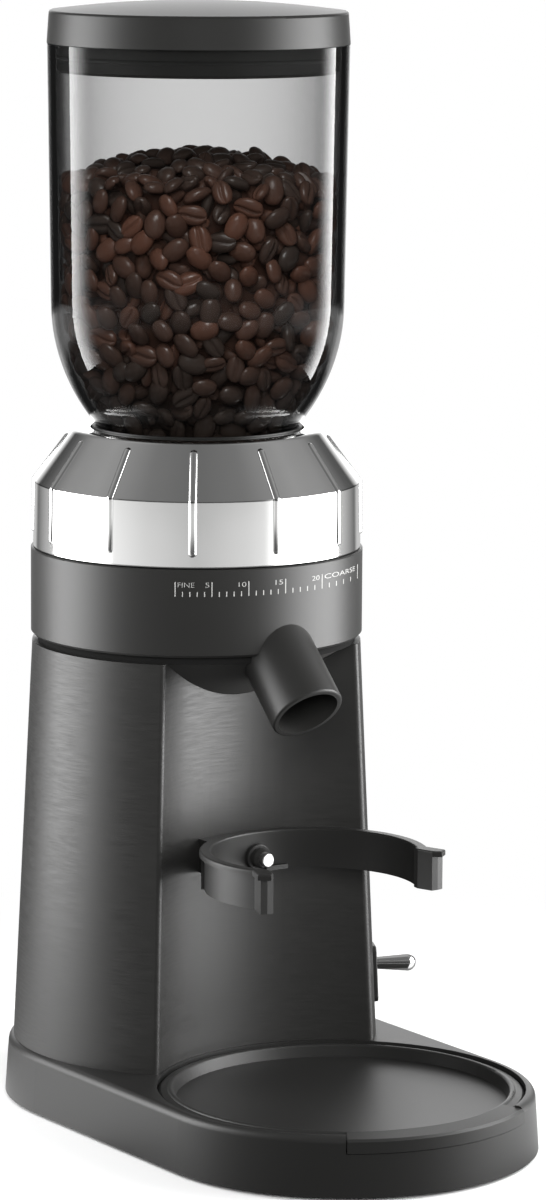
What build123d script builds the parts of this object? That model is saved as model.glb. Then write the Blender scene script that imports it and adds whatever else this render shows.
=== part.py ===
from build123d import *
import math
import os

# Burr coffee grinder, in millimetres, +Z up, front towards -Y.
# The origin is on the floor, in the middle of the base.

# Plan of the machine
BURR_Y = 52.0
TRAY_Y = -52.0
AXES_APART = BURR_Y - TRAY_Y

# Base
SKIRT_Z = 1.5
DECK_Z = 24.5
BASE_R = 76.5
BASE_LEAN = 4.0
BASE_WALL = 3.2
DECK_THICK = 4.0
DECK_ROUND = 3.0
PLATE_Z = 3.0
PLATE_THICK = 2.0
FOOT_R = 9.0
FOOT_X, FOOT_Y = 50.0, 78.0
CORD_BORE_R = 3.7
WELL_R = 71.4
WELL_Z = 15.5
WELL_FLOOR = 2.5
LIP_HALF_ANGLE = 33.0
LIP_R = 75.4
LIP_Z = 18.2

# Tray
TRAY_R = 71.1
DISH_R = 64.0
DISH_Z = 19.6
BEAD_Z = 24.4
RIM_Z = 23.2

# Column
COLUMN_LOW_R = 73.1
COLUMN_TOP_R = 65.4
COLUMN_TOP_Z = 185.3
COLUMN_WALL = 3.0
SCOOP_R = 72.7
SCOOP_EDGE = 2.0

# Grinding head
COLLAR_R = 65.9
COLLAR_IN_R = 62.2
COLLAR_LOW_Z = 188.2
COLLAR_TOP_Z = 222.7
CHIN_R, CHIN_Z = 62.0, 185.3
CHIN_LOW_R, CHIN_LOW_Z = 30.0, 166.7
CHAMBER_R = 45.0
CHAMBER_Z = 198.0
BEARING_R = 13.0

# Spout
SPOUT_R = 14.6
SPOUT_BORE_R = 12.4
SPOUT_ANGLE = 44.0
SPOUT_EXIT = Vector(0, BURR_Y - 79.2, 166.8)

# Grind ring
RING_LOW_Z, RING_BEND_Z, RING_SHOULDER_Z, RING_TOP_Z = 223.0, 249.0, 268.4, 270.3
RING_LOW_R, RING_BEND_R, RING_TOP_R = 65.0, 64.6, 50.2
RING_MOUTH_R = 42.3
RING_WALL = 3.2
RIB_COUNT = 12
RIB_R = 1.6
RIB_SINK = 0.75
RIB_LOW_Z, RIB_TOP_Z = 229.2, 266.0
RIB_FIRST = -94.5

# Burrs and drive
SHAFT_R = 6.0
JOURNAL_R = 4.0
RUN_GAP = 0.04
GEAR_TEETH, PINION_TEETH = 44, 12
MODULE = 1.0
PRESSURE = math.radians(25)
BACKLASH = 0.16
GEAR_Z, GEAR_FACE = 153.0, 9.0
GEAR_WEB_R, GEAR_HUB_R, GEAR_RECESS = 18.0, 10.5, 2.5
MOTOR_Y = BURR_Y + MODULE * (GEAR_TEETH + PINION_TEETH) / 2
MOTOR_R = 27.0
MOTOR_LOW_Z, MOTOR_TOP_Z = 70.0, 148.0
MOTOR_SHAFT_R = 2.5
CASE_LOW_Z = 148.0

# Hopper and lid
HOPPER_TOP_Z, HOPPER_TOP_R = 421.0, 59.4
SHOULDER_Z, SHOULDER_R = 320.5, 58.0
SHOULDER_ARC = 76.6
NECK_R = 38.5
NECK_Z = 256.0
GLASS = 3.2
LID_LOW_Z, LID_RIM_Z, LID_TOP_Z = 421.3, 432.9, 437.8
LID_LOW_R, LID_RIM_R = 59.5, 58.7
PLUG_R = 55.4
PLUG_Z = 410.2

# Portafilter fork and its button
FORK_Y = BURR_Y - 84.3
FORK_R = 40.2
FORK_WALL = 2.4
FLANGE_R = 44.6
FLANGE_THICK = 2.2
FORK_LOW_Z, FORK_TOP_Z = 98.5, 114.1
FORK_HALF_GAP = 60.0
BRACKET_HALF = 21.0
BUTTON_Z = 104.0
BUTTON_R = 3.95
TIP_R = 2.75
TIP_Y = -0.5

# Toggle switch, on the right wall towards the front
TOGGLE_ANGLE = -27.0
TOGGLE_Z = 50.8
PIVOT_OUT = 67.5
LEVER_LONG = 22.3
LEVER_ROOT_R, LEVER_TIP_R = 2.2, 3.5

os.makedirs("parts", exist_ok=True)


def upright(axis_y, azimuth):
    """Plane through an upright axis: x runs outward at an azimuth from the front, y runs up."""
    turn = math.radians(azimuth)
    out = Vector(math.sin(turn), -math.cos(turn), 0)
    return Plane((0, axis_y, 0), x_dir=out, z_dir=out.cross(Vector(0, 0, 1)))


def ring_of(radius, *angles):
    """Places on a circle, at angles from +X in degrees."""
    return [(radius * math.cos(math.radians(a)), radius * math.sin(math.radians(a))) for a in angles]


burr_floor = Plane((0, BURR_Y, 0))
tray_floor = Plane((0, TRAY_Y, 0))
motor_floor = Plane((0, MOTOR_Y, 0))
fork_floor = Plane((0, FORK_Y, 0))
burr_side = upright(BURR_Y, 90)
tray_side = upright(TRAY_Y, 90)
burr_axis = Axis((0, BURR_Y, 0), (0, 0, 1))
tray_axis = Axis((0, TRAY_Y, 0), (0, 0, 1))


def column_r(z):
    """Outer radius of the column at a height."""
    lean = (COLUMN_TOP_R - COLUMN_LOW_R) / (COLUMN_TOP_Z - DECK_Z)
    return COLUMN_LOW_R + lean * (z - DECK_Z)


def screw(head_r, head_tall, shank_r, shank_long):
    """A pan head screw: its head stands on z = 0 and its shank hangs below."""
    with BuildPart() as fastener:
        Cylinder(head_r, head_tall, align=(Align.CENTER, Align.CENTER, Align.MIN))
        chamfer(fastener.edges().group_by(Axis.Z)[-1], head_tall * 0.3)
        Cylinder(shank_r, shank_long, align=(Align.CENTER, Align.CENTER, Align.MAX))
        with Locations((0, 0, head_tall)):
            Box(head_r * 1.2, head_r * 0.25, head_tall * 0.9, mode=Mode.SUBTRACT)
    return fastener.part


def gear_outline(teeth):
    """Draw a closed spur gear outline with one arc for each flank."""
    pitch_r = MODULE * teeth / 2
    base_r = pitch_r * math.cos(PRESSURE)
    tip_r = pitch_r + 0.95 * MODULE
    root_r = pitch_r - 1.25 * MODULE
    half = math.pi / (2 * teeth) + math.tan(PRESSURE) - PRESSURE - BACKLASH / (4 * pitch_r)

    def flank(radius):
        """Half of the tooth's angle at a radius."""
        lean = math.acos(min(1, base_r / radius))
        return half - (math.tan(lean) - lean)

    def point(radius, angle):
        return (radius * math.cos(angle), radius * math.sin(angle))

    for tooth in range(teeth):
        middle = 2 * math.pi * tooth / teeth
        following = middle + 2 * math.pi / teeth
        rising = [point(r, middle - flank(r)) for r in (root_r, pitch_r, tip_r)]
        falling = [point(r, middle + flank(r)) for r in (tip_r, pitch_r, root_r)]
        ThreePointArc(*rising)
        ThreePointArc(rising[2], point(tip_r, middle), falling[0])
        ThreePointArc(*falling)
        gap_middle = point(root_r, (middle + following) / 2)
        ThreePointArc(falling[2], gap_middle, point(root_r, following - flank(root_r)))


# Base housing: a drafted slot-shaped shell with a round well for the tray
BOSS_PLACES = [(-45, -96), (45, -96), (-64, 30), (64, 30), (-45, 98), (45, 98)]
BOSS_R = 4.5
PILOT_R = 1.55
SCREW_R, SCREW_HOLE_R = 1.5, 2.0
COVER_SCREW_LONG = 9.0
WIRE_WAY_R, WIRE_WAY_Y = 38.0, 8.0
GLAND_R, GLAND_LONG, GLAND_FLANGE = 6.0, 9.0, 2.6
GLAND_FLANGE_R = 8.4
GLAND_SEAT_Y = 126.4
gland_floor = Plane((0, 0, 12.0), x_dir=(1, 0, 0), z_dir=(0, 1, 0))
COLUMN_SCREW_R = 66.0
column_screw_places = ring_of(COLUMN_SCREW_R, 18, 62, 118, 162)
cover_top_z = PLATE_Z + PLATE_THICK
well_low_z = WELL_Z - WELL_FLOOR
notch_turn = math.radians(LIP_HALF_ANGLE + 0.3)
notch_x = 2 * BASE_R * math.sin(notch_turn)
notch_y = 2 * BASE_R * math.cos(notch_turn)

with BuildPart() as base_housing:
    with BuildSketch(Plane.XY.offset(SKIRT_Z)):
        SlotCenterToCenter(AXES_APART, 2 * BASE_R, rotation=90)
    extrude(amount=DECK_Z - SKIRT_Z, taper=BASE_LEAN)
    fillet(base_housing.faces().sort_by(Axis.Z)[-1].edges(), DECK_ROUND)
    with BuildSketch(Plane.XY.offset(SKIRT_Z)):
        SlotCenterToCenter(AXES_APART, 2 * (BASE_R - BASE_WALL), rotation=90)
    extrude(amount=DECK_Z - DECK_THICK - SKIRT_Z, taper=BASE_LEAN, mode=Mode.SUBTRACT)
    with BuildSketch(tray_floor.offset(well_low_z)):
        Circle(BASE_R - BASE_WALL - 0.5)
    extrude(amount=DECK_Z - DECK_THICK - well_low_z)
    with BuildSketch(tray_floor.offset(WELL_Z)):
        Circle(WELL_R)
    extrude(amount=DECK_Z, mode=Mode.SUBTRACT)
    # Notch in the front wall for the lip of the tray
    with BuildSketch(tray_floor.offset(LIP_Z - 0.3)):
        with BuildLine():
            Polyline((0, 0), (-notch_x, -notch_y), (notch_x, -notch_y), close=True)
        make_face()
    extrude(amount=DECK_Z, mode=Mode.SUBTRACT)
    # Screw bosses for the cover
    with BuildSketch(Plane.XY.offset(cover_top_z)):
        with Locations(*BOSS_PLACES):
            Circle(BOSS_R)
    extrude(amount=well_low_z + 1 - cover_top_z)
    with BuildSketch(Plane.XY.offset(cover_top_z)):
        with Locations(*[place for place in BOSS_PLACES if place[1] > 0]):
            Circle(BOSS_R)
    extrude(amount=DECK_Z - 2 - cover_top_z)
    with BuildSketch(Plane.XY.offset(PLATE_Z)):
        with Locations(*BOSS_PLACES):
            Circle(PILOT_R)
    extrude(amount=COVER_SCREW_LONG + 1, mode=Mode.SUBTRACT)
    # Opening below the column, and the holes of its screws
    with BuildSketch(burr_floor.offset(DECK_Z - DECK_THICK)):
        with Locations((0, WIRE_WAY_Y)):
            Circle(WIRE_WAY_R)
        with Locations(*column_screw_places):
            Circle(SCREW_HOLE_R)
    extrude(amount=DECK_THICK, mode=Mode.SUBTRACT)
    # Seat and hole for the cord gland
    with BuildSketch(gland_floor.offset(GLAND_SEAT_Y)):
        Circle(GLAND_FLANGE_R + 0.2)
    extrude(amount=10, mode=Mode.SUBTRACT)
    with BuildSketch(gland_floor.offset(GLAND_SEAT_Y - GLAND_LONG - 3)):
        Circle(GLAND_R)
    extrude(amount=GLAND_LONG + 3, mode=Mode.SUBTRACT)
base_housing.part.label = "base_housing"
export_step(base_housing.part, "parts/base_housing.step")

# Bottom cover, its screws and the rubber feet
BOARD_POSTS = [(-30, 76), (30, 76), (-30, 104), (30, 104)]
POST_R, POST_TALL = 3.0, 3.5
COVER_GAP = 1.0
with BuildPart() as base_cover:
    with BuildSketch(Plane.XY.offset(PLATE_Z)):
        SlotCenterToCenter(AXES_APART, 2 * (BASE_R - BASE_WALL - COVER_GAP), rotation=90)
        with Locations(*BOSS_PLACES):
            Circle(PILOT_R, mode=Mode.SUBTRACT)
    extrude(amount=PLATE_THICK)
    with BuildSketch(Plane.XY.offset(cover_top_z)):
        with Locations(*BOARD_POSTS):
            Circle(POST_R)
    extrude(amount=POST_TALL)
base_cover.part.label = "base_cover"
export_step(base_cover.part, "parts/base_cover.step")

cover_screw = screw(3.2, 1.3, SCREW_R, COVER_SCREW_LONG)
with BuildPart() as cover_screws:
    with Locations(*[Location((x, y, PLATE_Z), (180, 0, 0)) for x, y in BOSS_PLACES]):
        add(cover_screw)
cover_screws.part.label = "cover_screws"
export_step(cover_screws.part, "parts/cover_screws.step")

with BuildPart() as rubber_feet:
    with GridLocations(2 * FOOT_X, 2 * FOOT_Y, 2, 2):
        Cylinder(FOOT_R, PLATE_Z, align=(Align.CENTER, Align.CENTER, Align.MIN))
    fillet(rubber_feet.edges().group_by(Axis.Z)[0], 0.8)
rubber_feet.part.label = "rubber_feet"
export_step(rubber_feet.part, "parts/rubber_feet.step")

with BuildPart() as cord_gland:
    with BuildSketch(gland_floor.offset(GLAND_SEAT_Y)):
        Circle(GLAND_FLANGE_R)
    extrude(amount=GLAND_FLANGE)
    fillet(cord_gland.edges().group_by(Axis.Y)[-1], 0.9)
    with BuildSketch(gland_floor.offset(GLAND_SEAT_Y - GLAND_LONG)):
        Circle(GLAND_R)
    extrude(amount=GLAND_LONG)
    with BuildSketch(gland_floor.offset(GLAND_SEAT_Y - GLAND_LONG)):
        Circle(CORD_BORE_R)
    extrude(amount=2 * GLAND_LONG, mode=Mode.SUBTRACT)
cord_gland.part.label = "cord_gland"
export_step(cord_gland.part, "parts/cord_gland.step")

# Control board on posts in the back of the base, with its relay, filter and capacitor
BOARD_WIDE, BOARD_DEEP, BOARD_THICK, BOARD_Y = 70.0, 36.0, 1.6, 90.0
RELAY, FILTER, CAPACITOR_R, DEVICE_TALL = (18.0, 16.0), (16.0, 12.0), 6.0, 9.0
board_z = cover_top_z + POST_TALL
with BuildPart() as control_board:
    with BuildSketch(Plane.XY.offset(board_z)):
        with Locations((0, BOARD_Y)):
            Rectangle(BOARD_WIDE, BOARD_DEEP)
    extrude(amount=BOARD_THICK)
    with BuildSketch(Plane.XY.offset(board_z + BOARD_THICK)):
        with Locations((-20, BOARD_Y)):
            Rectangle(*RELAY)
        with Locations((4, BOARD_Y + 6)):
            Rectangle(*FILTER)
        with Locations((22, BOARD_Y - 6)):
            Circle(CAPACITOR_R)
    extrude(amount=DEVICE_TALL)
control_board.part.label = "control_board"
export_step(control_board.part, "parts/control_board.step")

# Grounds tray: a shallow dish with a beaded rim and a lip at the front
BEAD = [(DISH_R + 1.0, BEAD_Z - 0.7), (DISH_R + 2.2, BEAD_Z), (DISH_R + 3.4, BEAD_Z - 0.7)]
TRAY_WALL = 2.2
tray_low_z = WELL_Z + 0.3
with BuildPart() as grounds_tray:
    with BuildSketch(tray_side):
        with BuildLine():
            Polyline((0, DISH_Z), (DISH_R, DISH_Z), BEAD[0])
            ThreePointArc(*BEAD)
            Polyline(BEAD[2], (TRAY_R - 1.2, RIM_Z), (TRAY_R, RIM_Z - 1.0), (TRAY_R, tray_low_z),
                     (TRAY_R - TRAY_WALL, tray_low_z), (TRAY_R - TRAY_WALL, DISH_Z - TRAY_WALL),
                     (0, DISH_Z - TRAY_WALL), (0, DISH_Z))
        make_face()
    revolve(axis=tray_axis)
    with BuildSketch(upright(TRAY_Y, -LIP_HALF_ANGLE)):
        with BuildLine():
            Polyline(BEAD[1], (LIP_R - 1.0, RIM_Z + 0.3), (LIP_R, RIM_Z - 0.6), (LIP_R + 0.3, LIP_Z),
                     (TRAY_R - 1.0, LIP_Z), (BEAD[1][0], LIP_Z + 1.5), close=True)
        make_face()
    revolve(axis=tray_axis, revolution_arc=2 * LIP_HALF_ANGLE)
grounds_tray.part.label = "grounds_tray"
export_step(grounds_tray.part, "parts/grounds_tray.step")

# Planes of the toggle switch and of the button
toggle_out = Vector(math.cos(math.radians(TOGGLE_ANGLE)), math.sin(math.radians(TOGGLE_ANGLE)), 0)
toggle_along = Vector(0, 0, 1).cross(toggle_out)
toggle_plane = Plane((0, BURR_Y, TOGGLE_Z), x_dir=toggle_along, z_dir=toggle_out)
button_plane = Plane((0, 0, BUTTON_Z), x_dir=(1, 0, 0), z_dir=(0, 1, 0))
HEAD_SCREW_R = 54.0
housing_screw_places = ring_of(HEAD_SCREW_R, 30, 90, 150)
fork_screw_places = [(-17, 0), (17, 0)]
FORK_SCREW_Y, FORK_SCREW_LONG = 22.6, 9.0
BUSH_R, BUSH_FLANGE_R = 4.8, 5.4
BUSH_FRONT_Y, BUSH_SEAT_Y, BUSH_BACK_Y = 5.9, 7.5, 24.2
TOGGLE_BUSH_R, TOGGLE_NUT_R = 5.0, 7.5

# Hollow of the column, with the screw bosses left standing at its wall
HEAD_BOSS_Z, HEAD_BOSS_R = 155.0, 9.0
COLUMN_BOSS_R, COLUMN_BOSS_TALL = 5.2, 14.0
COLUMN_SCREW_LONG = 13.0
with BuildPart() as column_hollow:
    with BuildSketch(burr_side):
        with BuildLine():
            Polyline((0, DECK_Z), (COLUMN_LOW_R - COLUMN_WALL, DECK_Z),
                     (COLUMN_TOP_R - COLUMN_WALL, COLUMN_TOP_Z), (0, COLUMN_TOP_Z), close=True)
        make_face()
    revolve(axis=burr_axis)
    with BuildSketch(tray_floor):
        Circle(SCOOP_R + COLUMN_WALL)
    extrude(amount=COLUMN_TOP_Z, mode=Mode.SUBTRACT)
    with BuildSketch(burr_floor.offset(DECK_Z)):
        with Locations(*column_screw_places):
            Circle(COLUMN_BOSS_R)
    extrude(amount=COLUMN_BOSS_TALL, mode=Mode.SUBTRACT)
    with BuildSketch(burr_floor.offset(HEAD_BOSS_Z)):
        with Locations(*[(1.07 * x, 1.07 * y) for x, y in housing_screw_places]):
            Circle(HEAD_BOSS_R)
    extrude(amount=COLUMN_TOP_Z - HEAD_BOSS_Z, mode=Mode.SUBTRACT)

# Column: a tapered shell, scooped out in front for the cup
CHIN_GAP = 0.2
with BuildPart() as column_shell:
    with BuildSketch(burr_side):
        with BuildLine():
            Polyline((0, DECK_Z), (COLUMN_LOW_R, DECK_Z), (COLUMN_TOP_R, COLUMN_TOP_Z), (0, COLUMN_TOP_Z),
                     close=True)
        make_face()
    revolve(axis=burr_axis)
    with BuildSketch(tray_floor):
        Circle(SCOOP_R)
    extrude(amount=COLUMN_TOP_Z + 1, mode=Mode.SUBTRACT)
    fillet(column_shell.edges().filter_by(lambda e: e.length > 150 and e.center().Y < BURR_Y - 20
                                          and abs(e.center().X) > 30), SCOOP_EDGE)
    add(column_hollow.part, mode=Mode.SUBTRACT)
    # Room for the cone of the grinding head
    with BuildSketch(burr_side):
        with BuildLine():
            Polyline((0, CHIN_LOW_Z - CHIN_GAP), (CHIN_LOW_R, CHIN_LOW_Z - CHIN_GAP),
                     (CHIN_R + CHIN_GAP, CHIN_Z - CHIN_GAP), (CHIN_R + CHIN_GAP, CHIN_Z + 2), (0, CHIN_Z + 2),
                     close=True)
        make_face()
    revolve(axis=burr_axis, mode=Mode.SUBTRACT)
    # Pilot holes of the screws, then the holes of the button and the switch
    with BuildSketch(burr_floor.offset(DECK_Z)):
        with Locations(*column_screw_places):
            Circle(PILOT_R)
    extrude(amount=COLUMN_SCREW_LONG - 1, mode=Mode.SUBTRACT)
    with BuildSketch(burr_floor.offset(HEAD_BOSS_Z + 3)):
        with Locations(*housing_screw_places):
            Circle(SCREW_HOLE_R)
    extrude(amount=COLUMN_TOP_Z - HEAD_BOSS_Z, mode=Mode.SUBTRACT)
    with BuildSketch(button_plane):
        Circle(BUSH_R)
        with Locations(*fork_screw_places):
            Circle(PILOT_R)
    extrude(amount=40, mode=Mode.SUBTRACT)
    with BuildSketch(toggle_plane.offset(60)):
        Circle(TOGGLE_BUSH_R)
    extrude(amount=20, mode=Mode.SUBTRACT)
column_shell.part.label = "column_shell"
export_step(column_shell.part, "parts/column_shell.step")

column_screw = screw(3.4, 2.2, SCREW_R, COLUMN_SCREW_LONG)
with BuildPart() as column_screws:
    with Locations(*[Location((x, BURR_Y + y, DECK_Z - DECK_THICK), (180, 0, 0))
                     for x, y in column_screw_places]):
        add(column_screw)
column_screws.part.label = "column_screws"
export_step(column_screws.part, "parts/column_screws.step")

# Spout axis, shared by the spout and the holes that it passes through
spout_lean = math.radians(SPOUT_ANGLE)
spout_dir = Vector(0, -math.cos(spout_lean), -math.sin(spout_lean))
spout_plane = Plane(SPOUT_EXIT, x_dir=(1, 0, 0), z_dir=spout_dir)
SPOUT_LONG = 62.0
FLARE_FROM, FLARE_R = 34.0, 13.6

with BuildPart() as spout_way:
    with BuildSketch(spout_plane.offset(10)):
        Circle(SPOUT_R)
    extrude(amount=-SPOUT_LONG - 10)
    with BuildSketch(burr_floor):
        Circle(CHAMBER_R)
    extrude(amount=COLLAR_TOP_Z + 40, mode=Mode.SUBTRACT)

# Gear case outline: a hull round the large gear and the motor's pinion
CASE_BIG_R, CASE_SMALL_R, CASE_WALL = 27.0, 20.0, 2.5
pinion_place = (0, MOTOR_Y - BURR_Y)


def case_outline(inset):
    """Draw the gear case's hull, drawn in by an inset, from the burr axis."""
    Circle(CASE_BIG_R - inset)
    with Locations(pinion_place):
        Circle(CASE_SMALL_R - inset)
    make_hull()


# Grinding head casting: cone, chamber and bearing bore
HEAD_FLANGE_R = 63.0
SEAL_R, SEAL_TALL = 10.0, 2.5
HEAD_SCREW_Z, HEAD_SCREW_LONG = 209.0, 44.0
HEAD_SCREW_SINK_R = 4.2
head_top_z = COLLAR_TOP_Z - 0.2
with BuildPart() as grind_housing:
    with BuildSketch(burr_side):
        with BuildLine():
            Polyline((BEARING_R, CHIN_LOW_Z), (CHIN_LOW_R, CHIN_LOW_Z), (CHIN_R, CHIN_Z),
                     (HEAD_FLANGE_R, CHIN_Z), (HEAD_FLANGE_R, COLLAR_LOW_Z), (COLLAR_IN_R, COLLAR_LOW_Z),
                     (COLLAR_IN_R, head_top_z), (CHAMBER_R, head_top_z), (CHAMBER_R, CHAMBER_Z),
                     (SEAL_R, CHAMBER_Z),
                     (SEAL_R, CHAMBER_Z - SEAL_TALL), (BEARING_R, CHAMBER_Z - SEAL_TALL), close=True)
        make_face()
    revolve(axis=burr_axis)
    with BuildSketch(burr_floor.offset(CHIN_LOW_Z)):
        case_outline(0)
        Circle(BEARING_R, mode=Mode.SUBTRACT)
    extrude(amount=10)
    add(spout_way.part, mode=Mode.SUBTRACT)
    with BuildSketch(burr_floor.offset(CHIN_LOW_Z)):
        with Locations(*housing_screw_places):
            Circle(SCREW_HOLE_R)
    extrude(amount=HEAD_SCREW_Z - CHIN_LOW_Z, mode=Mode.SUBTRACT)
    with BuildSketch(burr_floor.offset(HEAD_SCREW_Z)):
        with Locations(*housing_screw_places):
            Circle(HEAD_SCREW_SINK_R)
    extrude(amount=COLLAR_TOP_Z - HEAD_SCREW_Z, mode=Mode.SUBTRACT)
grind_housing.part.label = "grind_housing"
export_step(grind_housing.part, "parts/grind_housing.step")

housing_screw = screw(3.8, 3.4, SCREW_HOLE_R - 0.05, HEAD_SCREW_LONG)
with BuildPart() as housing_screws:
    with Locations(*[(x, BURR_Y + y, HEAD_SCREW_Z) for x, y in housing_screw_places]):
        add(housing_screw)
housing_screws.part.label = "housing_screws"
export_step(housing_screws.part, "parts/housing_screws.step")

# Collar that carries the grind scale
with BuildPart() as scale_collar:
    with BuildSketch(burr_side):
        with BuildLine():
            Polyline((COLLAR_IN_R, COLLAR_LOW_Z), (COLLAR_R - 1.0, COLLAR_LOW_Z),
                     (COLLAR_R, COLLAR_LOW_Z + 1.0), (COLLAR_R, COLLAR_TOP_Z - 0.4),
                     (COLLAR_R - 0.4, COLLAR_TOP_Z), (COLLAR_IN_R, COLLAR_TOP_Z), close=True)
        make_face()
    revolve(axis=burr_axis)
    add(spout_way.part, mode=Mode.SUBTRACT)
scale_collar.part.label = "scale_collar"
export_step(scale_collar.part, "parts/scale_collar.step")

# Spout: a slanted tube from the chamber to the front
with BuildPart() as spout:
    with BuildSketch(spout_plane):
        Circle(SPOUT_R)
    extrude(amount=-SPOUT_LONG)
    fillet(spout.edges().sort_by(Axis(SPOUT_EXIT, spout_dir))[-1], 0.9)
    with BuildSketch(spout_plane.offset(1)):
        Circle(SPOUT_BORE_R)
    extrude(amount=-FLARE_FROM - 1, mode=Mode.SUBTRACT)
    # The bore widens towards the chamber, so that grounds don't bridge there
    with Locations(Plane(SPOUT_EXIT - spout_dir * FLARE_FROM, x_dir=(1, 0, 0), z_dir=-spout_dir)):
        Cone(SPOUT_BORE_R, FLARE_R, SPOUT_LONG - FLARE_FROM + 1,
             align=(Align.CENTER, Align.CENTER, Align.MIN), mode=Mode.SUBTRACT)
    with BuildSketch(burr_floor):
        Circle(CHAMBER_R + 0.2)
    extrude(amount=COLLAR_TOP_Z + 40, mode=Mode.SUBTRACT)
spout.part.label = "spout"
export_step(spout.part, "parts/spout.step")

# Gear case, closed above by the grinding head
CASE_FLOOR = 3.0
MOTOR_SCREW_X = 12.0
motor_screw_places = [(-MOTOR_SCREW_X, pinion_place[1]), (MOTOR_SCREW_X, pinion_place[1])]
LOWER_BUSH_R, MOTOR_BUSH_R = 7.0, 6.0
with BuildPart() as gear_case:
    with BuildSketch(burr_floor.offset(CASE_LOW_Z)):
        case_outline(0)
    extrude(amount=CHIN_LOW_Z - CASE_LOW_Z)
    with BuildSketch(burr_floor.offset(CASE_LOW_Z + CASE_FLOOR)):
        case_outline(CASE_WALL)
    extrude(amount=CHIN_LOW_Z - CASE_LOW_Z, mode=Mode.SUBTRACT)
    with BuildSketch(burr_floor.offset(CASE_LOW_Z)):
        Circle(LOWER_BUSH_R)
        with Locations(pinion_place):
            Circle(MOTOR_BUSH_R)
        with Locations(*motor_screw_places):
            Circle(PILOT_R)
    extrude(amount=CASE_FLOOR, mode=Mode.SUBTRACT)
gear_case.part.label = "gear_case"
export_step(gear_case.part, "parts/gear_case.step")

# Bearings and seal of the drive shaft
with BuildPart() as lower_bush:
    with BuildSketch(burr_floor.offset(CASE_LOW_Z)):
        Circle(LOWER_BUSH_R)
        Circle(JOURNAL_R + RUN_GAP, mode=Mode.SUBTRACT)
    extrude(amount=CASE_FLOOR + 0.6)
lower_bush.part.label = "lower_bush"
export_step(lower_bush.part, "parts/lower_bush.step")

BEARING_TALL = 9.0
with BuildPart() as middle_bearing:
    with BuildSketch(burr_floor.offset(CHIN_LOW_Z + 1)):
        Circle(BEARING_R)
        Circle(SHAFT_R + RUN_GAP, mode=Mode.SUBTRACT)
    extrude(amount=BEARING_TALL)
middle_bearing.part.label = "middle_bearing"
export_step(middle_bearing.part, "parts/middle_bearing.step")

seal_low_z = CHAMBER_Z - SEAL_TALL
with BuildPart() as upper_bearing:
    with BuildSketch(burr_floor.offset(seal_low_z - BEARING_TALL)):
        Circle(BEARING_R)
        Circle(SHAFT_R + RUN_GAP, mode=Mode.SUBTRACT)
    extrude(amount=BEARING_TALL)
upper_bearing.part.label = "upper_bearing"
export_step(upper_bearing.part, "parts/upper_bearing.step")

with BuildPart() as shaft_seal:
    with BuildSketch(burr_floor.offset(seal_low_z)):
        Circle(SEAL_R)
        Circle(SHAFT_R + 2 * RUN_GAP, mode=Mode.SUBTRACT)
    extrude(amount=SEAL_TALL)
shaft_seal.part.label = "shaft_seal"
export_step(shaft_seal.part, "parts/shaft_seal.step")

# Drive shaft, from the foot journal to the burr nut
BURR_LOW_Z, BURR_TOP_Z = 203.0, 229.0
NUT_R, NUT_TALL = 8.0, 6.0
shaft_top_z = BURR_TOP_Z + NUT_TALL + 1.5
with BuildPart() as drive_shaft:
    with BuildSketch(burr_side):
        with BuildLine():
            Polyline((0, CASE_LOW_Z + 0.4), (JOURNAL_R, CASE_LOW_Z + 0.4), (JOURNAL_R, GEAR_Z),
                     (SHAFT_R, GEAR_Z), (SHAFT_R, BURR_LOW_Z), (JOURNAL_R, BURR_LOW_Z),
                     (JOURNAL_R, shaft_top_z), (0, shaft_top_z), close=True)
        make_face()
    revolve(axis=burr_axis)
    chamfer(drive_shaft.edges().group_by(Axis.Z)[-1], 0.6)
drive_shaft.part.label = "drive_shaft"
export_step(drive_shaft.part, "parts/drive_shaft.step")

# Large gear: turned half a tooth, so that a gap faces the pinion
half_tooth = Vector(1, 0, 0).rotate(Axis.Z, 180 / GEAR_TEETH)
with BuildPart() as drive_gear:
    with BuildSketch(Plane((0, BURR_Y, GEAR_Z), x_dir=half_tooth)):
        with BuildLine():
            gear_outline(GEAR_TEETH)
        make_face()
        Circle(SHAFT_R, mode=Mode.SUBTRACT)
    extrude(amount=GEAR_FACE)
    with BuildSketch(burr_floor.offset(GEAR_Z + GEAR_FACE - GEAR_RECESS)):
        Circle(GEAR_WEB_R)
        Circle(GEAR_HUB_R, mode=Mode.SUBTRACT)
    extrude(amount=GEAR_RECESS, mode=Mode.SUBTRACT)
drive_gear.part.label = "drive_gear"
export_step(drive_gear.part, "parts/drive_gear.step")

# Sweeper: a disc with paddles that pushes the grounds to the spout
SWEEPER_THICK, SWEEPER_HUB_R = 2.0, 13.0
PADDLE_R, PADDLE_LONG, PADDLE_WIDE, PADDLE_TALL = 37.0, 12.5, 3.0, 3.6
sweeper_low_z = CHAMBER_Z + 0.5
sweeper_top_z = sweeper_low_z + SWEEPER_THICK
with BuildPart() as sweeper:
    with BuildSketch(burr_floor.offset(sweeper_low_z)):
        Circle(CHAMBER_R - 1.2)
    extrude(amount=SWEEPER_THICK)
    with BuildSketch(burr_floor.offset(sweeper_top_z)):
        Circle(SWEEPER_HUB_R)
    extrude(amount=BURR_LOW_Z - sweeper_top_z)
    with BuildSketch(burr_floor.offset(sweeper_top_z)):
        with PolarLocations(PADDLE_R, 4):
            Rectangle(PADDLE_LONG, PADDLE_WIDE)
    extrude(amount=PADDLE_TALL)
    with BuildSketch(burr_floor.offset(sweeper_low_z)):
        Circle(SHAFT_R)
    extrude(amount=BURR_LOW_Z - sweeper_low_z, mode=Mode.SUBTRACT)
sweeper.part.label = "sweeper"
export_step(sweeper.part, "parts/sweeper.step")

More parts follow.
